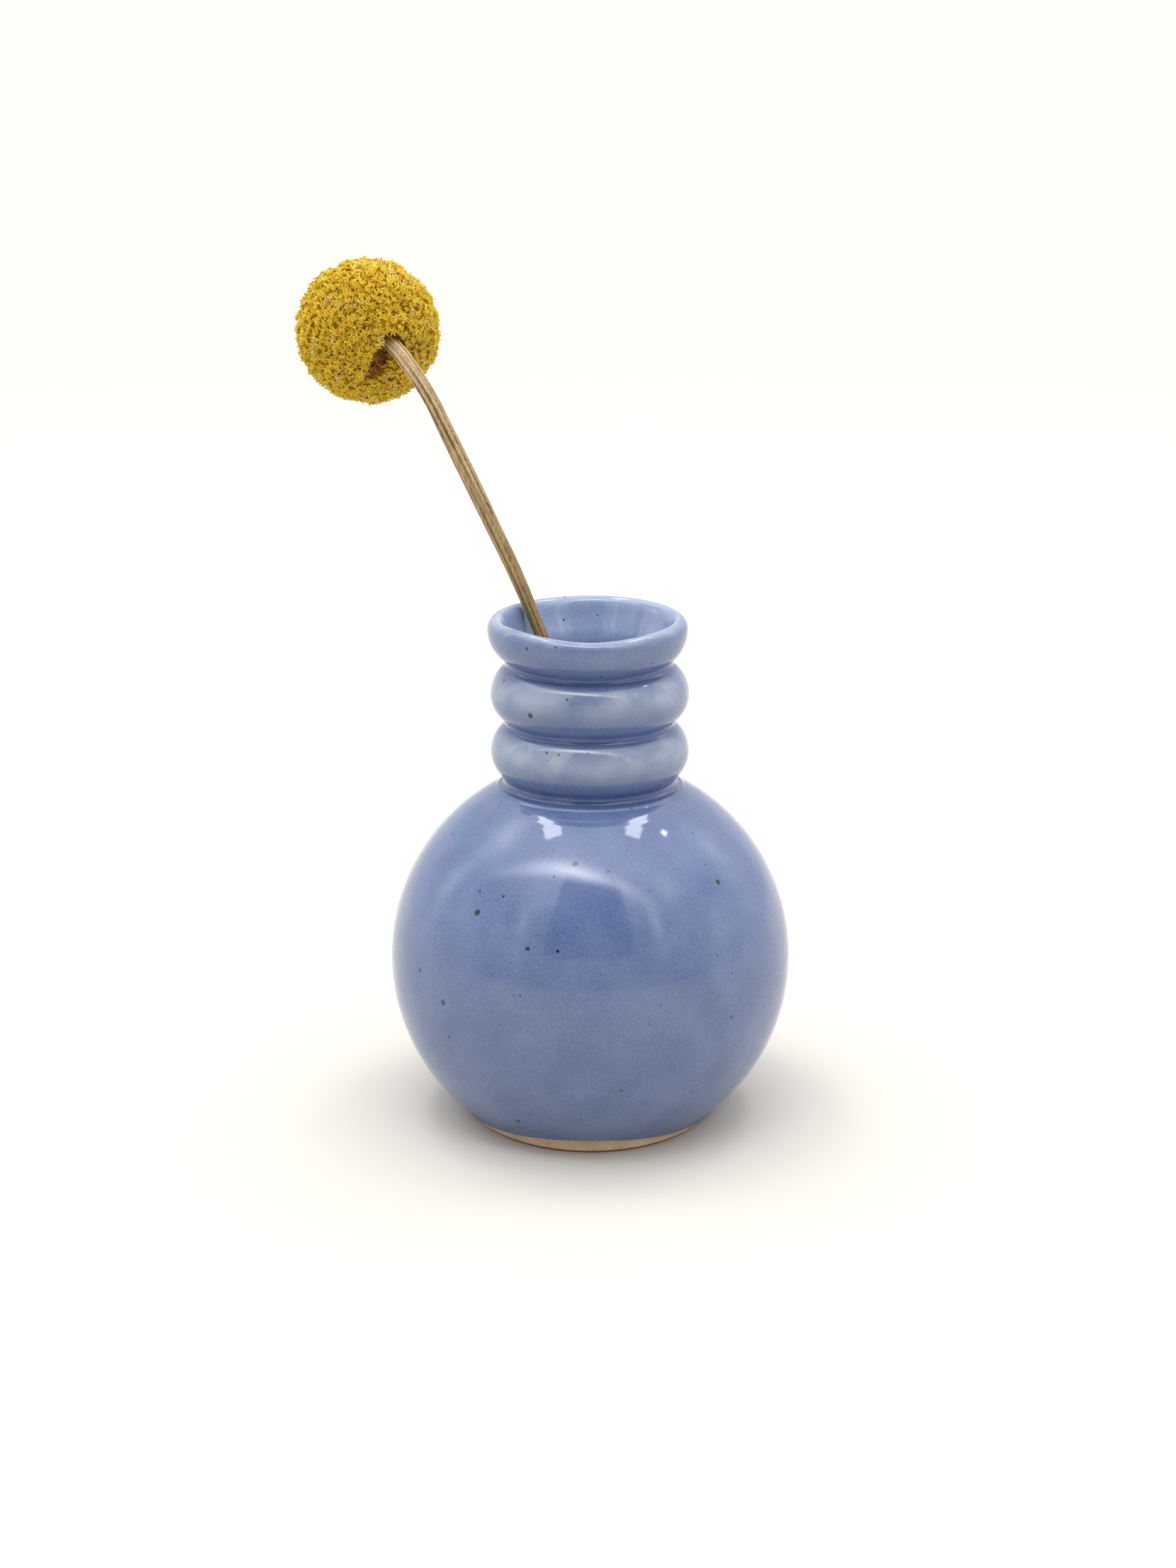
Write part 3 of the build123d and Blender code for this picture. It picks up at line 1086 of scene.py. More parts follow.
    def core(self, tufts: np.ndarray) -> tuple[np.ndarray, list[tuple[int, ...]], np.ndarray]:
        """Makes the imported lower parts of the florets, as one lumpy skin.

        Args:
            tufts: the middle of each tuft.

        Returns:
            The points, the faces and the colour of each point.
        """
        around, faces = ball(6)
        near = (around @ tufts.T).max(1)
        spacing = math.sqrt(4 * math.pi / self.tufts)
        dip = self.tuft_dip * ease(np.arccos(np.clip(near, -1, 1)), 0.1 * spacing, 0.75 * spacing)
        hollow = self.hollow(around)
        grain = 0.16 * np.sin(around[:, 0] * 83 + 3 * around[:, 1]) * np.sin(around[:, 1] * 79)
        grain = grain + 0.16 * np.sin(around[:, 2] * 91 + 2 * around[:, 0]) * np.sin(around[:, 0] * 61)
        reach = self.core_radius - dip - self.pit_depth * hollow + grain
        # the core is painted deeper gold between tufts, as painted shade in the crevices
        mix = (dip / self.tuft_dip)[:, None]
        tint = pigment(self.colours.packed) * (1 - mix) + pigment(self.colours.gap) * mix
        # and dark brown down the pit and clefts: the bare core's brown, darkened further as painted shade in
        # the hollow
        dark = ease(hollow, 0.15, 0.6)[:, None]
        tint = tint * (1 - dark) + pigment(self.colours.pit) * dark
        return self.middle + around * reach[:, None], faces, tint

    def floret_shapes(
        self, rng: np.random.Generator, count: int, length: np.ndarray
    ) -> tuple[np.ndarray, np.ndarray]:
        """Shapes each floret: a tube that opens to five crumpled lobes, or a closed bud.

        Args:
            rng: the seeded source of chance.
            count: how many.
            length: the length of each tube, in mm.

        Returns:
            The points of each floret, five rings of ten and two poles, and which of them are buds.
        """
        bud = rng.uniform(size=count) < self.buds
        size = rng.uniform(0.8, 1.25, (count, 1, 1))
        turn = np.linspace(0, 2 * math.pi, 10, endpoint=False)
        lobe = (np.arange(10) % 2 == 0)[None, :]
        long = rng.uniform(0.35, 1.15, (count, 10))
        curl = rng.uniform(-0.45, 0.3, (count, 10))
        tall = length[:, None] * np.ones((1, 10))
        radii = np.stack(
            [
                np.full((count, 10), 0.2),
                np.full((count, 10), 0.3),
                np.where(lobe, 0.44 + 0.56 * long, 0.34),
                np.where(lobe, 0.4 + 0.48 * long, 0.29),
                np.full((count, 10), 0.16),
            ],
            1,
        )
        heights = np.stack(
            [
                0 * tall,
                tall - 0.5,
                np.where(lobe, tall + curl * long, tall - 0.25),
                np.where(lobe, tall + curl * long + 0.08, tall - 0.12),
                tall - 0.4,
            ],
            1,
        )
        shut = np.stack([0 * tall, tall - 0.55, tall - 0.3, tall - 0.05, tall + 0.12], 1)
        round_up = np.array([0.2, 0.3, 0.36, 0.3, 0.15])[None, :, None] * np.ones((count, 1, 10))
        radii = np.where(bud[:, None, None], round_up, radii) * size
        heights = np.where(bud[:, None, None], shut, heights)
        skew = turn + rng.normal(0, 0.12, (count, 5, 10)) * np.where(bud, 0, 1)[:, None, None]
        rings = np.stack([radii * np.cos(skew), radii * np.sin(skew), heights], -1).reshape(count, 50, 3)
        poles = np.zeros((count, 2, 3))
        poles[:, 1, 2] = np.where(bud, length + 0.17, length - 0.55)
        return np.concatenate([rings, poles], 1), bud

    def floret_tints(
        self, rng: np.random.Generator, directions: np.ndarray, bud: np.ndarray
    ) -> np.ndarray:
        """Colours each floret: deep gold at its foot as painted shade, yellow above, with some lobes
        bleached to cream.

        Args:
            rng: the seeded source of chance.
            directions: where each floret stands.
            bud: which of them are buds.

        Returns:
            A linear colour for each point.
        """
        colours = self.colours
        base, tube, lobe = pigment(colours.base), pigment(colours.tube), pigment(colours.lobe)
        bleached, shut, ripe = pigment(colours.bleached), pigment(colours.bud), pigment(colours.ripe)
        count = len(directions)
        patch = 0.5 + 0.5 * np.sin(directions @ np.array([5.0, -3.0, 4.0]) + 0.6) * np.sin(
            directions @ np.array([-4.0, 6.0, 7.0])
        )
        bleach = ease(rng.uniform(0, 1, count) * (0.35 + 0.85 * patch), 0.64, 1.0)[:, None]
        tip = lobe * (1 - bleach) + bleached * bleach
        age = rng.uniform(0, 1, count)[:, None]
        throat = tube * (1 - 0.5 * age) + ripe * 0.5 * age
        top = shut * (1 - 0.4 * age) + ripe * 0.4 * age
        # the foot of each floret is painted deep gold, as painted shade deep among the florets
        lower = [base + 0 * tip, tube + 0 * tip]
        shades = np.stack([*lower, tip, tip, throat], 1)
        shades = np.where(bud[:, None, None], np.stack([*lower, top, top, top], 1), shades)
        rings = np.repeat(shades[:, :, None], 10, 2)
        between_lobes = (np.arange(10) % 2 == 1)[None, None, :, None] & ~bud[:, None, None, None]
        is_rim = np.array([False, False, True, True, False])[None, :, None, None]
        rings = np.where(between_lobes & is_rim, 0.6 * tube + 0.4 * lobe, rings)
        poles = np.stack([shades[:, 0], shades[:, 4]], 1)
        return np.concatenate([rings.reshape(count, 50, 4), poles], 1).reshape(-1, 4)


# ---- the finishes ------------------------------------------------------------------------------


@dataclass(frozen=True)
class SpeckledGlaze:
    """A glossy periwinkle-blue glaze over a clay that bleeds iron specks.

    Attributes:
        name: what the real material is.
        body: its colour where it lies evenly.
        light: its colour in the paler clouds.
        pooled: its colour where it ran thick, also laid on as painted shade in the grooves and under the
            rings.
        thin: its colour where it drew thin over a crest, also laid on as a painted reflection on the rings'
            upper halves.
        speck: the iron specks' colour.
        roughness: of the surface.
        ior: refractive index of the glassy coat.
        wave: height of the slow waves left in the melted surface, in mm.
        peel: height of the fine unevenness on top of them, in mm.
        specks: for each size of speck, the distance between two in mm and the radius of the widest
            as a share of it.
    """

    name: str = "fired stoneware glaze, glossy periwinkle blue"
    body: str = "#53668f"
    light: str = "#6979a0"
    pooled: str = "#385089"
    thin: str = "#98a3b4"
    speck: str = "#20140f"
    roughness: float = 0.07
    ior: float = 1.6
    wave: float = 0.04
    peel: float = 0.003
    specks: tuple[tuple[float, float], ...] = ((7.0, 0.085), (4.2, 0.07), (2.4, 0.05))

    def material(self) -> bpy.types.Material:
        """Makes the material.

        Returns:
            The glaze. It was dipped on over a coarse clay and fired until it ran: it reads as deep,
            slightly cloudy glass, bluer in the grooves and greyer on the crests (partly painted shade and a
            painted reflection), with iron specks that burnt through from the clay and soft waves that bend
            every highlight.
        """
        material, tree = new_material(self.name)
        place = add_node(tree, "ShaderNodeTexCoord").outputs["Object"]
        # The bucket of glaze is never quite stirred and melts in clouds 9 mm across, which give the
        # eye a cloudy depth in place of flat paint.
        clouds = add_node(
            tree, "ShaderNodeTexNoise", {"Vector": place, "Scale": 1 / (9 * MM), "Detail": 3.0}
        )
        # the grains of colour are 0.2 mm across, drawn twice as coarse so that they don't shimmer
        grains = add_node(
            tree, "ShaderNodeTexNoise", {"Vector": place, "Scale": 1 / (0.45 * MM), "Detail": 2.0}
        )
        amount = add_node(
            tree, "ShaderNodeMix", {0: 0.5, 2: clouds.outputs[0], 3: grains.outputs[0]}, data_type="FLOAT"
        ).outputs[0]
        cloudy = add_node(
            tree, "ShaderNodeMapRange", {"Value": amount, "From Min": 0.38, "From Max": 0.66}, clamp=True
        ).outputs[0]
        colour = add_node(
            tree, "ShaderNodeMix", {0: cloudy, 6: linear(self.body), 7: linear(self.light)}, data_type="RGBA"
        ).outputs[2]
        # It ran off the crests and into the grooves as it melted, so each ring is painted greyer on top and
        # a bluer at its foot, both stronger in some clouds than in others. The grey top is partly a painted
        # reflection, and the blue foot and grooves are partly painted shade.
        patchy = add_node(
            tree,
            "ShaderNodeMapRange",
            {"Value": clouds.outputs[0], "From Min": 0.3, "From Max": 0.62, "To Min": 0.3},
        ).outputs[0]
        for layer, shade in (("pool_and_shade", self.pooled), ("thin", self.thin)):
            whole = add_node(tree, "ShaderNodeAttribute", attribute_name=layer).outputs["Fac"]
            share = add_node(tree, "ShaderNodeMath", {0: whole, 1: patchy}, operation="MULTIPLY").outputs[0]
            colour = add_node(
                tree, "ShaderNodeMix", {0: share, 6: colour, 7: linear(shade)}, data_type="RGBA"
            ).outputs[2]
        # Iron in the clay burnt through the glaze. Each speck bled a little at its edge, so it is
        # ragged and soft: it reads as part of the pot and not as paint splashed on it.
        ragged = add_node(
            tree, "ShaderNodeTexNoise", {"Vector": place, "Scale": 1 / (0.5 * MM)}
        ).outputs["Color"]
        bleed = (0.6 * MM, 0.6 * MM, 0.4 * MM)
        shaken = add_node(
            tree, "ShaderNodeVectorMath", {0: ragged, 1: bleed, 2: place}, operation="MULTIPLY_ADD"
        ).outputs[0]
        for apart, widest in self.specks:
            cells = add_node(tree, "ShaderNodeTexVoronoi", {"Vector": shaken, "Scale": 1 / (apart * MM)})
            chance, away = cells.outputs["Color"], cells.outputs["Distance"]
            size = add_node(
                tree,
                "ShaderNodeMapRange",
                {"Value": chance, "From Min": 0.1, "From Max": 0.8, "To Min": 0.0, "To Max": widest},
                clamp=True,
            ).outputs[0]
            wider = add_node(tree, "ShaderNodeMath", {0: size, 1: 1.3}, operation="MULTIPLY").outputs[0]
            spot = add_node(
                tree,
                "ShaderNodeMapRange",
                {"Value": away, "From Min": size, "From Max": wider, "To Min": 0.95, "To Max": 0.0},
                clamp=True,
            ).outputs[0]
            colour = add_node(
                tree, "ShaderNodeMix", {0: spot, 6: colour, 7: linear(self.speck)}, data_type="RGBA"
            ).outputs[2]
        # The melt froze with slow waves 17 mm long under a fine unevenness of 1.3 mm, which bend
        # every highlight and show that the coat is thick.
        waves = add_node(
            tree, "ShaderNodeTexNoise", {"Vector": place, "Scale": 1 / (17 * MM), "Detail": 1.0}
        )
        slow = add_node(
            tree, "ShaderNodeBump", {"Strength": 1.0, "Distance": self.wave * MM, "Height": waves.outputs[0]}
        ).outputs[0]
        dimples = add_node(
            tree, "ShaderNodeTexNoise", {"Vector": place, "Scale": 1 / (1.3 * MM), "Detail": 1.0}
        ).outputs[0]
        fine = add_node(
            tree,
            "ShaderNodeBump",
            {"Strength": 1.0, "Distance": self.peel * MM, "Height": dimples, "Normal": slow},
        ).outputs[0]
        glass = add_node(
            tree,
            "ShaderNodeBsdfPrincipled",
            {"Base Color": colour, "Roughness": self.roughness, "IOR": self.ior, "Normal": fine},
        ).outputs[0]
        add_node(tree, "ShaderNodeOutputMaterial", {"Surface": glass})
        return material


@dataclass(frozen=True)
class BareClay:
    """Unglazed stoneware.

    Attributes:
        edge: the rustier colour of the rim that it stands on, dark enough to stand also as a painted contact
            shadow.
        body: the colour of the fired clay.
        sand: the colour of its paler grains.
        roughness: of the surface.
    """

    edge: str = "#5c2f1b"
    body: str = "#c9a480"
    sand: str = "#e2cdac"
    roughness: float = 0.88

    def material(self) -> bpy.types.Material:
        """Makes the material.

        Returns:
            The clay. It was wiped clean of glaze with a sponge before firing, which left its sand
            standing proud: it reads as a dry, matt, fine-grained band with no highlight.
        """
        material, tree = new_material("bare fired stoneware clay, matt sandy brown")
        place = add_node(tree, "ShaderNodeTexCoord").outputs["Object"]
        # A wet sponge took the glaze off and some fine clay with it, so the sand stands proud and
        # the band reads as dry and rough under the wet-looking glaze.
        # The sand is 0.2 mm, drawn at 0.4 mm so that it can be seen.
        sand = add_node(
            tree, "ShaderNodeTexNoise", {"Vector": place, "Scale": 1 / (0.4 * MM), "Detail": 3.0}
        )
        stain = add_node(
            tree, "ShaderNodeTexNoise", {"Vector": place, "Scale": 1 / (5 * MM), "Detail": 2.0}
        )
        amount = add_node(
            tree, "ShaderNodeMix", {0: 0.4, 2: sand.outputs[0], 3: stain.outputs[0]}, data_type="FLOAT"
        ).outputs[0]
        share = add_node(
            tree, "ShaderNodeMapRange", {"Value": amount, "From Min": 0.35, "From Max": 0.7}, clamp=True
        ).outputs[0]
        colour = add_node(
            tree, "ShaderNodeMix", {0: share, 6: linear(self.body), 7: linear(self.sand)}, data_type="RGBA"
        ).outputs[2]
        # The rim that it stands on was worn on the kiln shelf and took up iron, which draws a thin
        # rusty line where the pot meets the table. The line is painted dark enough to stand also as a
        # painted contact shadow under the foot.
        up = add_node(tree, "ShaderNodeSeparateXYZ", {0: place}).outputs["Z"]
        rust_and_contact_shade = add_node(
            tree, "ShaderNodeMapRange", {"Value": up, "From Min": 0.7 * MM, "From Max": 0.1 * MM}, clamp=True
        ).outputs[0]
        colour = add_node(
            tree, "ShaderNodeMix", {0: rust_and_contact_shade, 6: colour, 7: linear(self.edge)}, data_type="RGBA"
        ).outputs[2]
        bump = add_node(
            tree, "ShaderNodeBump", {"Strength": 1.0, "Distance": 0.04 * MM, "Height": sand.outputs[0]}
        ).outputs[0]
        skin = add_node(
            tree,
            "ShaderNodeBsdfPrincipled",
            {"Base Color": colour, "Roughness": self.roughness, "IOR": 1.5, "Normal": bump},
        ).outputs[0]
        add_node(tree, "ShaderNodeOutputMaterial", {"Surface": skin})
        return material


@dataclass(frozen=True)
class DryStalkSkin:
    """The skin of a dried flower stalk.

    Attributes:
        crest: the colour of the ridges low down.
        high_crest: the colour of the ridges near the head.
        groove: the colour of the grooves.
        roughness: of the surface.
    """

    crest: str = "#a08648"
    high_crest: str = "#d2b684"
    groove: str = "#4a3118"
    roughness: float = 0.62

    def material(self) -> bpy.types.Material:
        """Makes the material.

        Returns:
            The skin. It shrank on its fibres as the stalk dried: it reads as straw with pale raised
            fibres, dark lines between them and a faint sheen along the ridges.
        """
        material, tree = new_material("dried flower stalk, ridged straw")
        place = add_node(tree, "ShaderNodeTexCoord").outputs["Object"]
        # The pith shrank and the skin sank between the fibres, so it reads as pale raised lines
        # with dark ones between, all drawn out along the lean of the stalk.
        lean, draw = (-0.25, -0.4, 0), (1, 1, 0.08)
        drawn_out = add_node(
            tree, "ShaderNodeMapping", {"Vector": place, "Rotation": lean, "Scale": draw}
        ).outputs[0]
        # the fibres are 0.3 mm apart, drawn at 0.45 mm so that they don't blur together
        fibres = add_node(
            tree, "ShaderNodeTexNoise", {"Vector": drawn_out, "Scale": 1 / (0.45 * MM), "Detail": 3.0}
        ).outputs[0]
        blotch = add_node(
            tree, "ShaderNodeTexNoise", {"Vector": place, "Scale": 1 / (6 * MM), "Detail": 2.0}
        ).outputs[0]
        # light has bleached it near the head, so it pales as it rises
        up = add_node(tree, "ShaderNodeAttribute", attribute_name="up").outputs["Fac"]
        high = add_node(
            tree, "ShaderNodeMapRange", {"Value": up, "From Min": 0.5, "From Max": 0.9}, clamp=True
        ).outputs[0]
        low_shade, high_shade = linear(self.crest), linear(self.high_crest)
        crest = add_node(
            tree, "ShaderNodeMix", {0: high, 6: low_shade, 7: high_shade}, data_type="RGBA"
        ).outputs[2]
        groove = add_node(tree, "ShaderNodeAttribute", attribute_name="groove").outputs["Fac"]
        streaked = add_node(
            tree, "ShaderNodeMath", {0: fibres, 1: 1.1, 2: -0.5}, operation="MULTIPLY_ADD"
        ).outputs[0]
        dirt = add_node(
            tree, "ShaderNodeMath", {0: blotch, 1: 0.9, 2: -0.45}, operation="MULTIPLY_ADD"
        ).outputs[0]
        both = add_node(tree, "ShaderNodeMath", {0: streaked, 1: dirt}, operation="ADD").outputs[0]
        depth = add_node(
            tree, "ShaderNodeMath", {0: groove, 1: both}, operation="ADD", use_clamp=True
        ).outputs[0]
        colour = add_node(
            tree, "ShaderNodeMix", {0: depth, 6: crest, 7: linear(self.groove)}, data_type="RGBA"
        ).outputs[2]
        bump = add_node(
            tree, "ShaderNodeBump", {"Strength": 1.0, "Distance": 0.03 * MM, "Height": fibres}
        ).outputs[0]
        skin = add_node(
            tree,
            "ShaderNodeBsdfPrincipled",
            {"Base Color": colour, "Roughness": self.roughness, "IOR": 1.45, "Normal": bump},
        ).outputs[0]
        add_node(tree, "ShaderNodeOutputMaterial", {"Surface": skin})
        return material


@dataclass(frozen=True)
class DryPetal:
    """Thin dried plant skin that takes its colour from the mesh and lets some light through.

    Attributes:
        name: what the real material is.
        roughness: of the surface.
        glow: the share of light that comes through it.
    """

    name: str
    roughness: float
    glow: float

    def material(self) -> bpy.types.Material:
        """Makes the material.

        Returns:
            The petal skin. It dried to a papery film: it reads as matt, with colour that deepens
            where florets crowd and lights up where a lobe is thin against the light.
        """
        material, tree = new_material(self.name)
        # Each cell dried flat into a film like paper: light that enters it leaves on the other side
        # too, so a thin lobe glows and a crowded one stays deep.
        colour = add_node(tree, "ShaderNodeAttribute", attribute_name="tint").outputs["Color"]
        skin = add_node(
            tree,
            "ShaderNodeBsdfPrincipled",
            {"Base Color": colour, "Roughness": self.roughness, "IOR": 1.42, "Specular IOR Level": 0.2},
        ).outputs[0]
        through = add_node(tree, "ShaderNodeBsdfTranslucent", {"Color": colour}).outputs[0]
        both = add_node(tree, "ShaderNodeMixShader", {0: self.glow, 1: skin, 2: through}).outputs[0]
        add_node(tree, "ShaderNodeOutputMaterial", {"Surface": both})
        return material


# ---- the studio --------------------------------------------------------------------------------


@dataclass(frozen=True)
class SoftPanel:
    """A soft light that hangs round the vase and faces it.

    Attributes:
        name: what it stands for.
        towards: the direction that it hangs in, from the globe.
        distance: how far away it hangs, in metres.
        size: its width and height, in metres.
        brightness: how bright its face is, where a white wall is 1.
        colour: its colour.
    """

    name: str
    towards: tuple[float, float, float]
    distance: float
    size: tuple[float, float]
    brightness: float
    colour: str = "#ffffff"

    def hang(self, target: np.ndarray) -> None:
        """Adds it to the scene.

        Args:
            target: the point that it faces, in metres.
        """
        light = bpy.data.lights.new(self.name, "AREA")
        light.shape = "RECTANGLE"
        light.size, light.size_y = self.size
        light.energy = self.brightness * math.pi * self.size[0] * self.size[1]
        light.color = linear(self.colour)[:3]
        lamp = bpy.data.objects.new(self.name, light)
        bpy.context.scene.collection.objects.link(lamp)
        towards = unit(np.array(self.towards))
        lamp.location = target + towards * self.distance
        across = unit(np.array([1.0, 0, 0]) - towards * towards[0])
        lamp.rotation_euler = Matrix(np.stack([across, np.cross(towards, across), towards], 1)).to_euler()


@dataclass(frozen=True)
class Glow:
    """A soft bright patch of the room, such as daylight on a wall.

    Attributes:
        towards: the direction of its middle.
        spread: how wide and how tall it is, as sines of half its angle.
        brightness: how bright its middle is, where a white wall is 1.
    """

    towards: tuple[float, float, float]
    spread: tuple[float, float]
    brightness: float

    def add(
        self, tree: bpy.types.NodeTree, way: bpy.types.NodeSocket, level: bpy.types.NodeSocket
    ) -> bpy.types.NodeSocket:
        """Adds it to the brightness of the room.

        Args:
            tree: the room's node tree.
            way: the direction looked in.
            level: the brightness of the room so far.

        Returns:
            The brightness with the patch in it.
        """
        towards = Vector(self.towards).normalized()
        turn = towards.to_track_quat("Z", "Y").to_euler()
        # a patch that is less than 2 deep can't show again on the far side of the room
        size = (*self.spread, 1.8)
        local = add_node(
            tree,
            "ShaderNodeMapping",
            {"Vector": way, "Location": towards, "Rotation": turn, "Scale": size},
            vector_type="TEXTURE",
        ).outputs[0]
        patch = add_node(
            tree, "ShaderNodeTexGradient", {"Vector": local}, gradient_type="QUADRATIC_SPHERE"
        ).outputs["Fac"]
        return add_node(
            tree, "ShaderNodeMath", {0: patch, 1: self.brightness, 2: level}, operation="MULTIPLY_ADD"
        ).outputs[0]


@dataclass
class Studio:
    """A pale table in an all-white room, with the camera a little above the vase.

    Attributes:
        panels: the lights with an edge.
        glows: the soft patches of light in the room.
        table: the table's colour.
        room: the colour of the room behind.
        light: the colour of the light from the room.
        table_reach: how far the table runs each way, in metres.
        behind: brightness of the room behind the vase.
        facing: brightness of the room on the camera's side.
        overhead: brightness of the ceiling.
        unlit: brightness of the dark opening on the camera's side.
        jambs: how far to each side the opening ends, and how far it is full, as slopes.
        sill: how high a direction has to rise to meet the opening, and to be well inside it.
        head: how high it may rise before it leaves the opening, and to be well inside it.
        aim: height of the point that the panels face, in metres.
        aside: how far the camera is to the right of the axis, in metres.
        distance: from the vase's axis to the camera, in metres.
        eye: height of the camera, in metres.
        pitch: how far the camera looks down, in degrees.
        lens: focal length for a frame of 36 mm, in mm.
    """

    panels: tuple[SoftPanel, ...]
    glows: tuple[Glow, ...]
    table: str = "#d5d0c6"
    room: str = "#fffefa"
    light: str = "#fdfdff"
    table_reach: float = 4.0
    behind: float = 1.0
    facing: float = 0.7
    overhead: float = 1.9
    unlit: float = 0.04
    jambs: tuple[float, float] = (0.57, 0.46)
    sill: tuple[float, float] = (0.26, 0.33)
    head: tuple[float, float] = (0.93, 0.84)
    aim: float = 0.04
    aside: float = -0.0005
    distance: float = 0.46
    eye: float = 0.2022
    pitch: float = 15.99
    lens: float = 52.78

    def build(self) -> None:
        """Makes the table, the light and the camera."""
        self.lay_table()
        self.light_room()
        for panel in self.panels:
            panel.hang(np.array([0, 0, self.aim]))
        self.place_camera()
        bpy.context.scene.view_settings.view_transform = "Standard"

    def lay_table(self) -> None:
        """Makes the table top."""
        # Matt paint was rolled on in thin coats: it scatters all light, so the table shows the
        # vase's soft shadow and no reflection of it.
        material, tree = new_material("matt white painted board")
        skin = add_node(
            tree, "ShaderNodeBsdfPrincipled", {"Base Color": linear(self.table), "Roughness": 0.9}
        ).outputs[0]
        add_node(tree, "ShaderNodeOutputMaterial", {"Surface": skin})
        far = self.table_reach
        mesh = bpy.data.meshes.new("table_top")
        corners = [(-far, -far, 0), (far, -far, 0), (far, far, 0), (-far, far, 0)]
        mesh.from_pydata(corners, [], [(0, 1, 2, 3)])
        mesh.materials.append(material)
        top = bpy.data.objects.new("table_top", mesh)
        bpy.context.scene.collection.objects.link(top)

    def light_room(self) -> None:
        """Lights the room: white behind the vase, grey and partly dark on the camera's side."""
        world = bpy.data.worlds.new("white_room")
        world.use_nodes = True
        tree = world.node_tree
        tree.nodes.clear()
        way = add_node(tree, "ShaderNodeTexCoord").outputs["Generated"]
        across, depth, up = add_node(tree, "ShaderNodeSeparateXYZ", {0: way}).outputs
        ends = {"To Min": self.facing, "To Max": self.behind}
        level = add_node(
            tree,
            "ShaderNodeMapRange",
            {"Value": depth, "From Min": -0.45, "From Max": 0.45, **ends},
            interpolation_type="SMOOTHSTEP",
        ).outputs[0]
        ceiling = add_node(
            tree,
            "ShaderNodeMapRange",
            {"Value": up, "From Min": 0.45, "From Max": 1.0},
            interpolation_type="SMOOTHSTEP",
        ).outputs[0]
        level = add_node(
            tree, "ShaderNodeMix", {0: ceiling, 2: level, 3: self.overhead}, data_type="FLOAT"
        ).outputs[0]
        dark = self.dark_opening(tree, across, depth, up)
        level = add_node(
            tree, "ShaderNodeMix", {0: dark, 2: level, 3: self.unlit}, data_type="FLOAT"
        ).outputs[0]
        for glow in self.glows:
            level = glow.add(tree, way, level)
        lit = add_node(
            tree, "ShaderNodeBackground", {"Color": linear(self.light), "Strength": level}
        ).outputs[0]
        seen = add_node(
            tree, "ShaderNodeBackground", {"Color": linear(self.room), "Strength": 1.0}
        ).outputs[0]
        direct = add_node(tree, "ShaderNodeLightPath").outputs["Is Camera Ray"]
        both = add_node(tree, "ShaderNodeMixShader", {0: direct, 1: lit, 2: seen}).outputs[0]
        add_node(tree, "ShaderNodeOutputWorld", {"Surface": both})
        bpy.context.scene.world = world

    def dark_opening(
        self,
        tree: bpy.types.NodeTree,
        across: bpy.types.NodeSocket,
        depth: bpy.types.NodeSocket,
        up: bpy.types.NodeSocket,
    ) -> bpy.types.NodeSocket:
        """Finds how far a direction looks into the dark opening behind the camera.

        Args:
            tree: the room's node tree.
            across: how far the direction points to the right.
            depth: how far it points away from the camera's side.
            up: how far it points up.

        Returns:
            0 outside the opening, 1 well inside it.
        """
        toward = add_node(tree, "ShaderNodeMath", {0: depth, 1: -1.0}, operation="MULTIPLY").outputs[0]
        slope = add_node(tree, "ShaderNodeMath", {0: across, 1: toward}, operation="DIVIDE").outputs[0]
        aside = add_node(tree, "ShaderNodeMath", {0: slope}, operation="ABSOLUTE").outputs[0]
        inside = None
        for value, (none, full) in (
            (aside, self.jambs),
            (up, self.sill),
            (up, self.head),
            (toward, (0.0, 0.1)),
        ):
            edge = add_node(
                tree,
                "ShaderNodeMapRange",
                {"Value": value, "From Min": none, "From Max": full},
                interpolation_type="SMOOTHSTEP",
            ).outputs[0]
            inside = edge if inside is None else add_node(
                tree, "ShaderNodeMath", {0: inside, 1: edge}, operation="MULTIPLY"
            ).outputs[0]
        return inside

    def place_camera(self) -> None:
        """Puts the camera in front of the vase and looks down at it a little."""
        lens = bpy.data.cameras.new("camera")
        lens.sensor_width = 36
        lens.lens = self.lens
        camera = bpy.data.objects.new("camera", lens)
        camera.location = (self.aside, -self.distance, self.eye)
        camera.rotation_euler = (math.radians(90 - self.pitch), 0, 0)
        bpy.context.scene.collection.objects.link(camera)
        bpy.context.scene.camera = camera


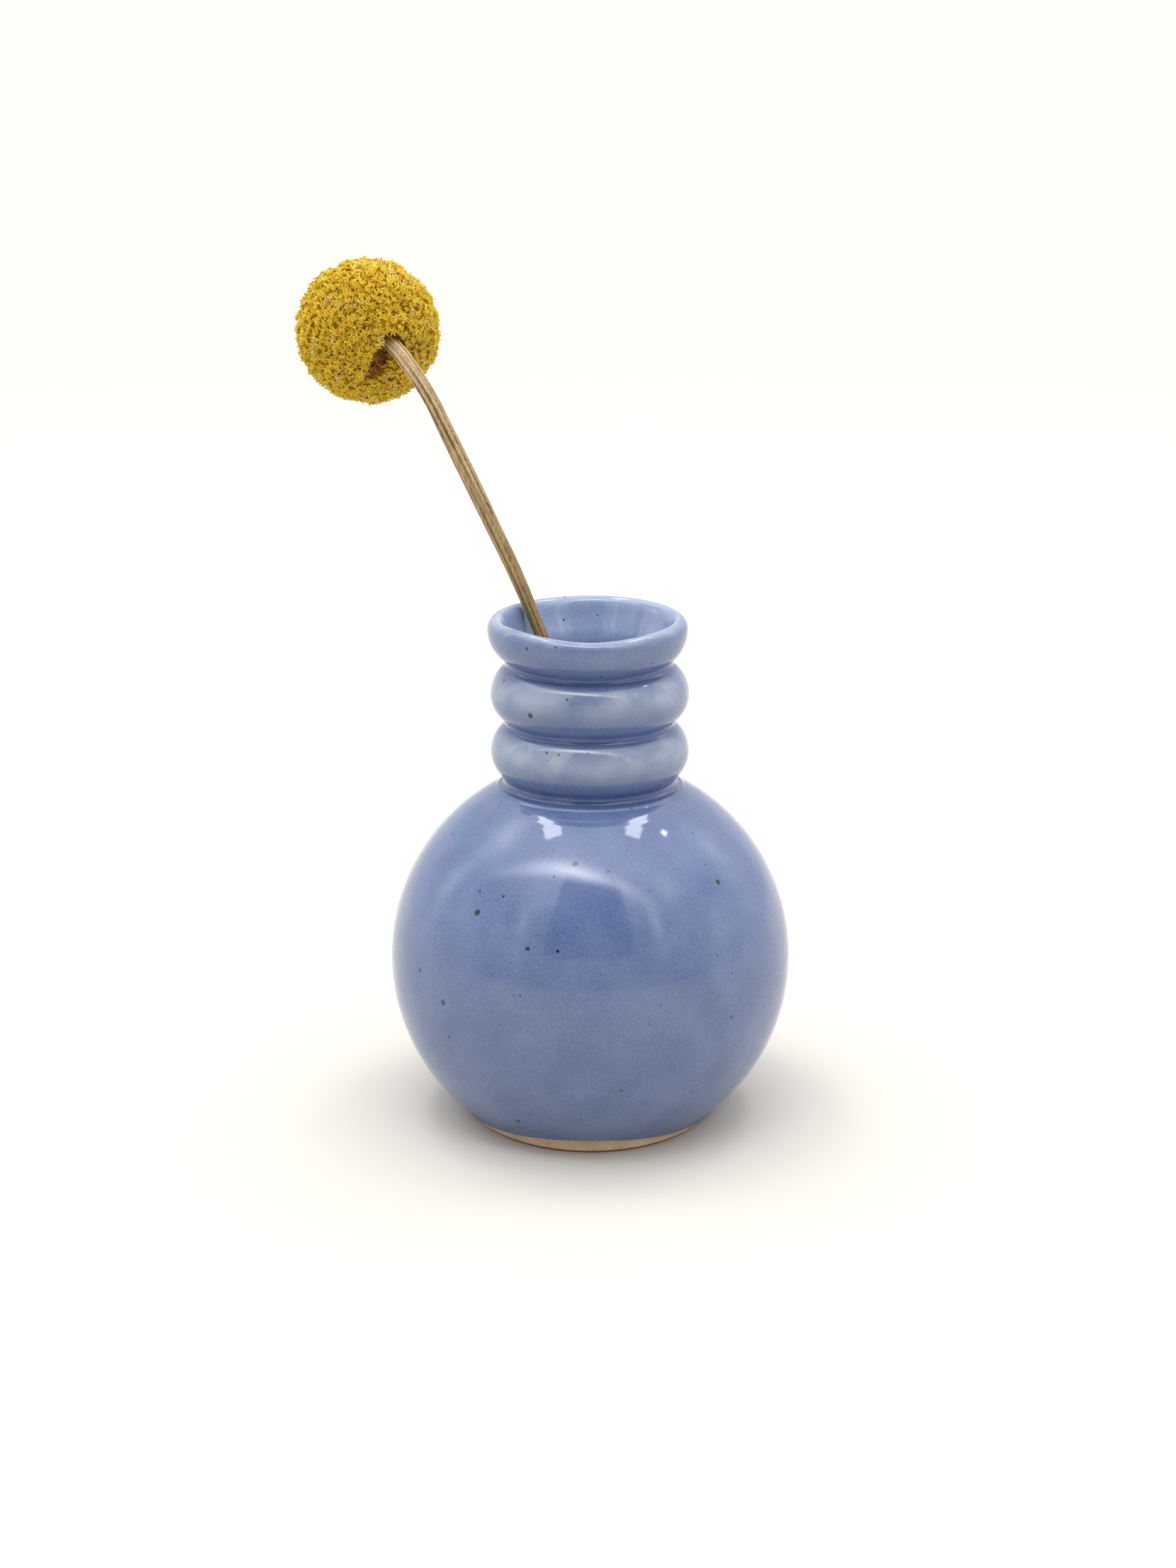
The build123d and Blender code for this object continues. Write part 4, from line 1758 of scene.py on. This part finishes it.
def build_vase() -> ThrownVase:
    """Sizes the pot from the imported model's own boxes.

    Returns:
        The pot, ready to build.
    """
    low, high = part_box("glaze_outside")
    _, globe_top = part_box("globe")
    return ThrownVase(
        globe_radius=round(high.x / MM, 2),
        line_height=round(low.z / MM, 2),
        joint_height=round(globe_top.z / MM, 2),
        crest_height=round(high.z / MM, 2),
    )


def build_studio() -> Studio:
    """Sets up the lights of the studio.

    Returns:
        The studio, ready to build: two tall windows and a lamp above, and the walls' glows.
    """
    daylight, lamplight = "#f7faff", "#fffaf2"
    return Studio(
        panels=(
            SoftPanel("left_window", (-0.29, 0.22, 0.93), 1.2, (0.16, 0.5), 7.0, daylight),
            SoftPanel("right_window", (0.33, 0.24, 0.91), 1.2, (0.14, 0.5), 7.0, daylight),
            SoftPanel("small_lamp", (0.52, 0.22, 0.82), 0.9, (0.04, 0.06), 12.0, lamplight),
        ),
        glows=(
            Glow((-0.14, -0.38, 0.92), (0.95, 0.14), 9.0),
            Glow((-0.1, -0.3, 0.95), (1.2, 0.45), 1.3),
            Glow((-0.58, 0.26, 0.77), (0.4, 0.3), 2.4),
            Glow((-0.85, 0.3, 0.43), (0.2, 0.6), 1.4),
            Glow((0.74, 0.44, 0.5), (0.4, 0.5), 1.4),
            Glow((0.62, -0.3, 0.72), (0.25, 0.5), 1.2),
            Glow((-0.62, -0.62, 0.5), (0.14, 0.42), 1.3),
            Glow((0.6, -0.62, 0.52), (0.12, 0.42), 1.6),
            Glow((0.95, -0.1, 0.22), (0.5, 0.45), 0.9),
            Glow((-0.95, -0.1, 0.2), (0.45, 0.45), 0.6),
        ),
    )


def main() -> None:
    """Builds the vase, the flower and the studio."""
    logging.basicConfig(level=logging.INFO, format="%(message)s")
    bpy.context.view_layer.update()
    scale = DryPetal(
        name="dried bracts and leaf stub, brown papery scales", roughness=0.7, glow=0.12
    ).material()
    # the liner coat is painted paler than the outside glaze, as painted light for the dim inside of the neck
    liner = SpeckledGlaze(
        name="fired stoneware glaze, painted-light liner coat", body="#8293bb", light="#97a5c4"
    )
    build_vase().build(SpeckledGlaze().material(), liner.material(), BareClay().material())
    stalk = Stalk()
    stalk.build(DryStalkSkin().material(), scale)
    gold = DryPetal(
        name="dried billy button florets, papery gold", roughness=0.62, glow=0.28
    ).material()
    FlowerHead(stalk).build(gold, scale)
    build_studio().build()


if __name__ == "__main__":
    main()
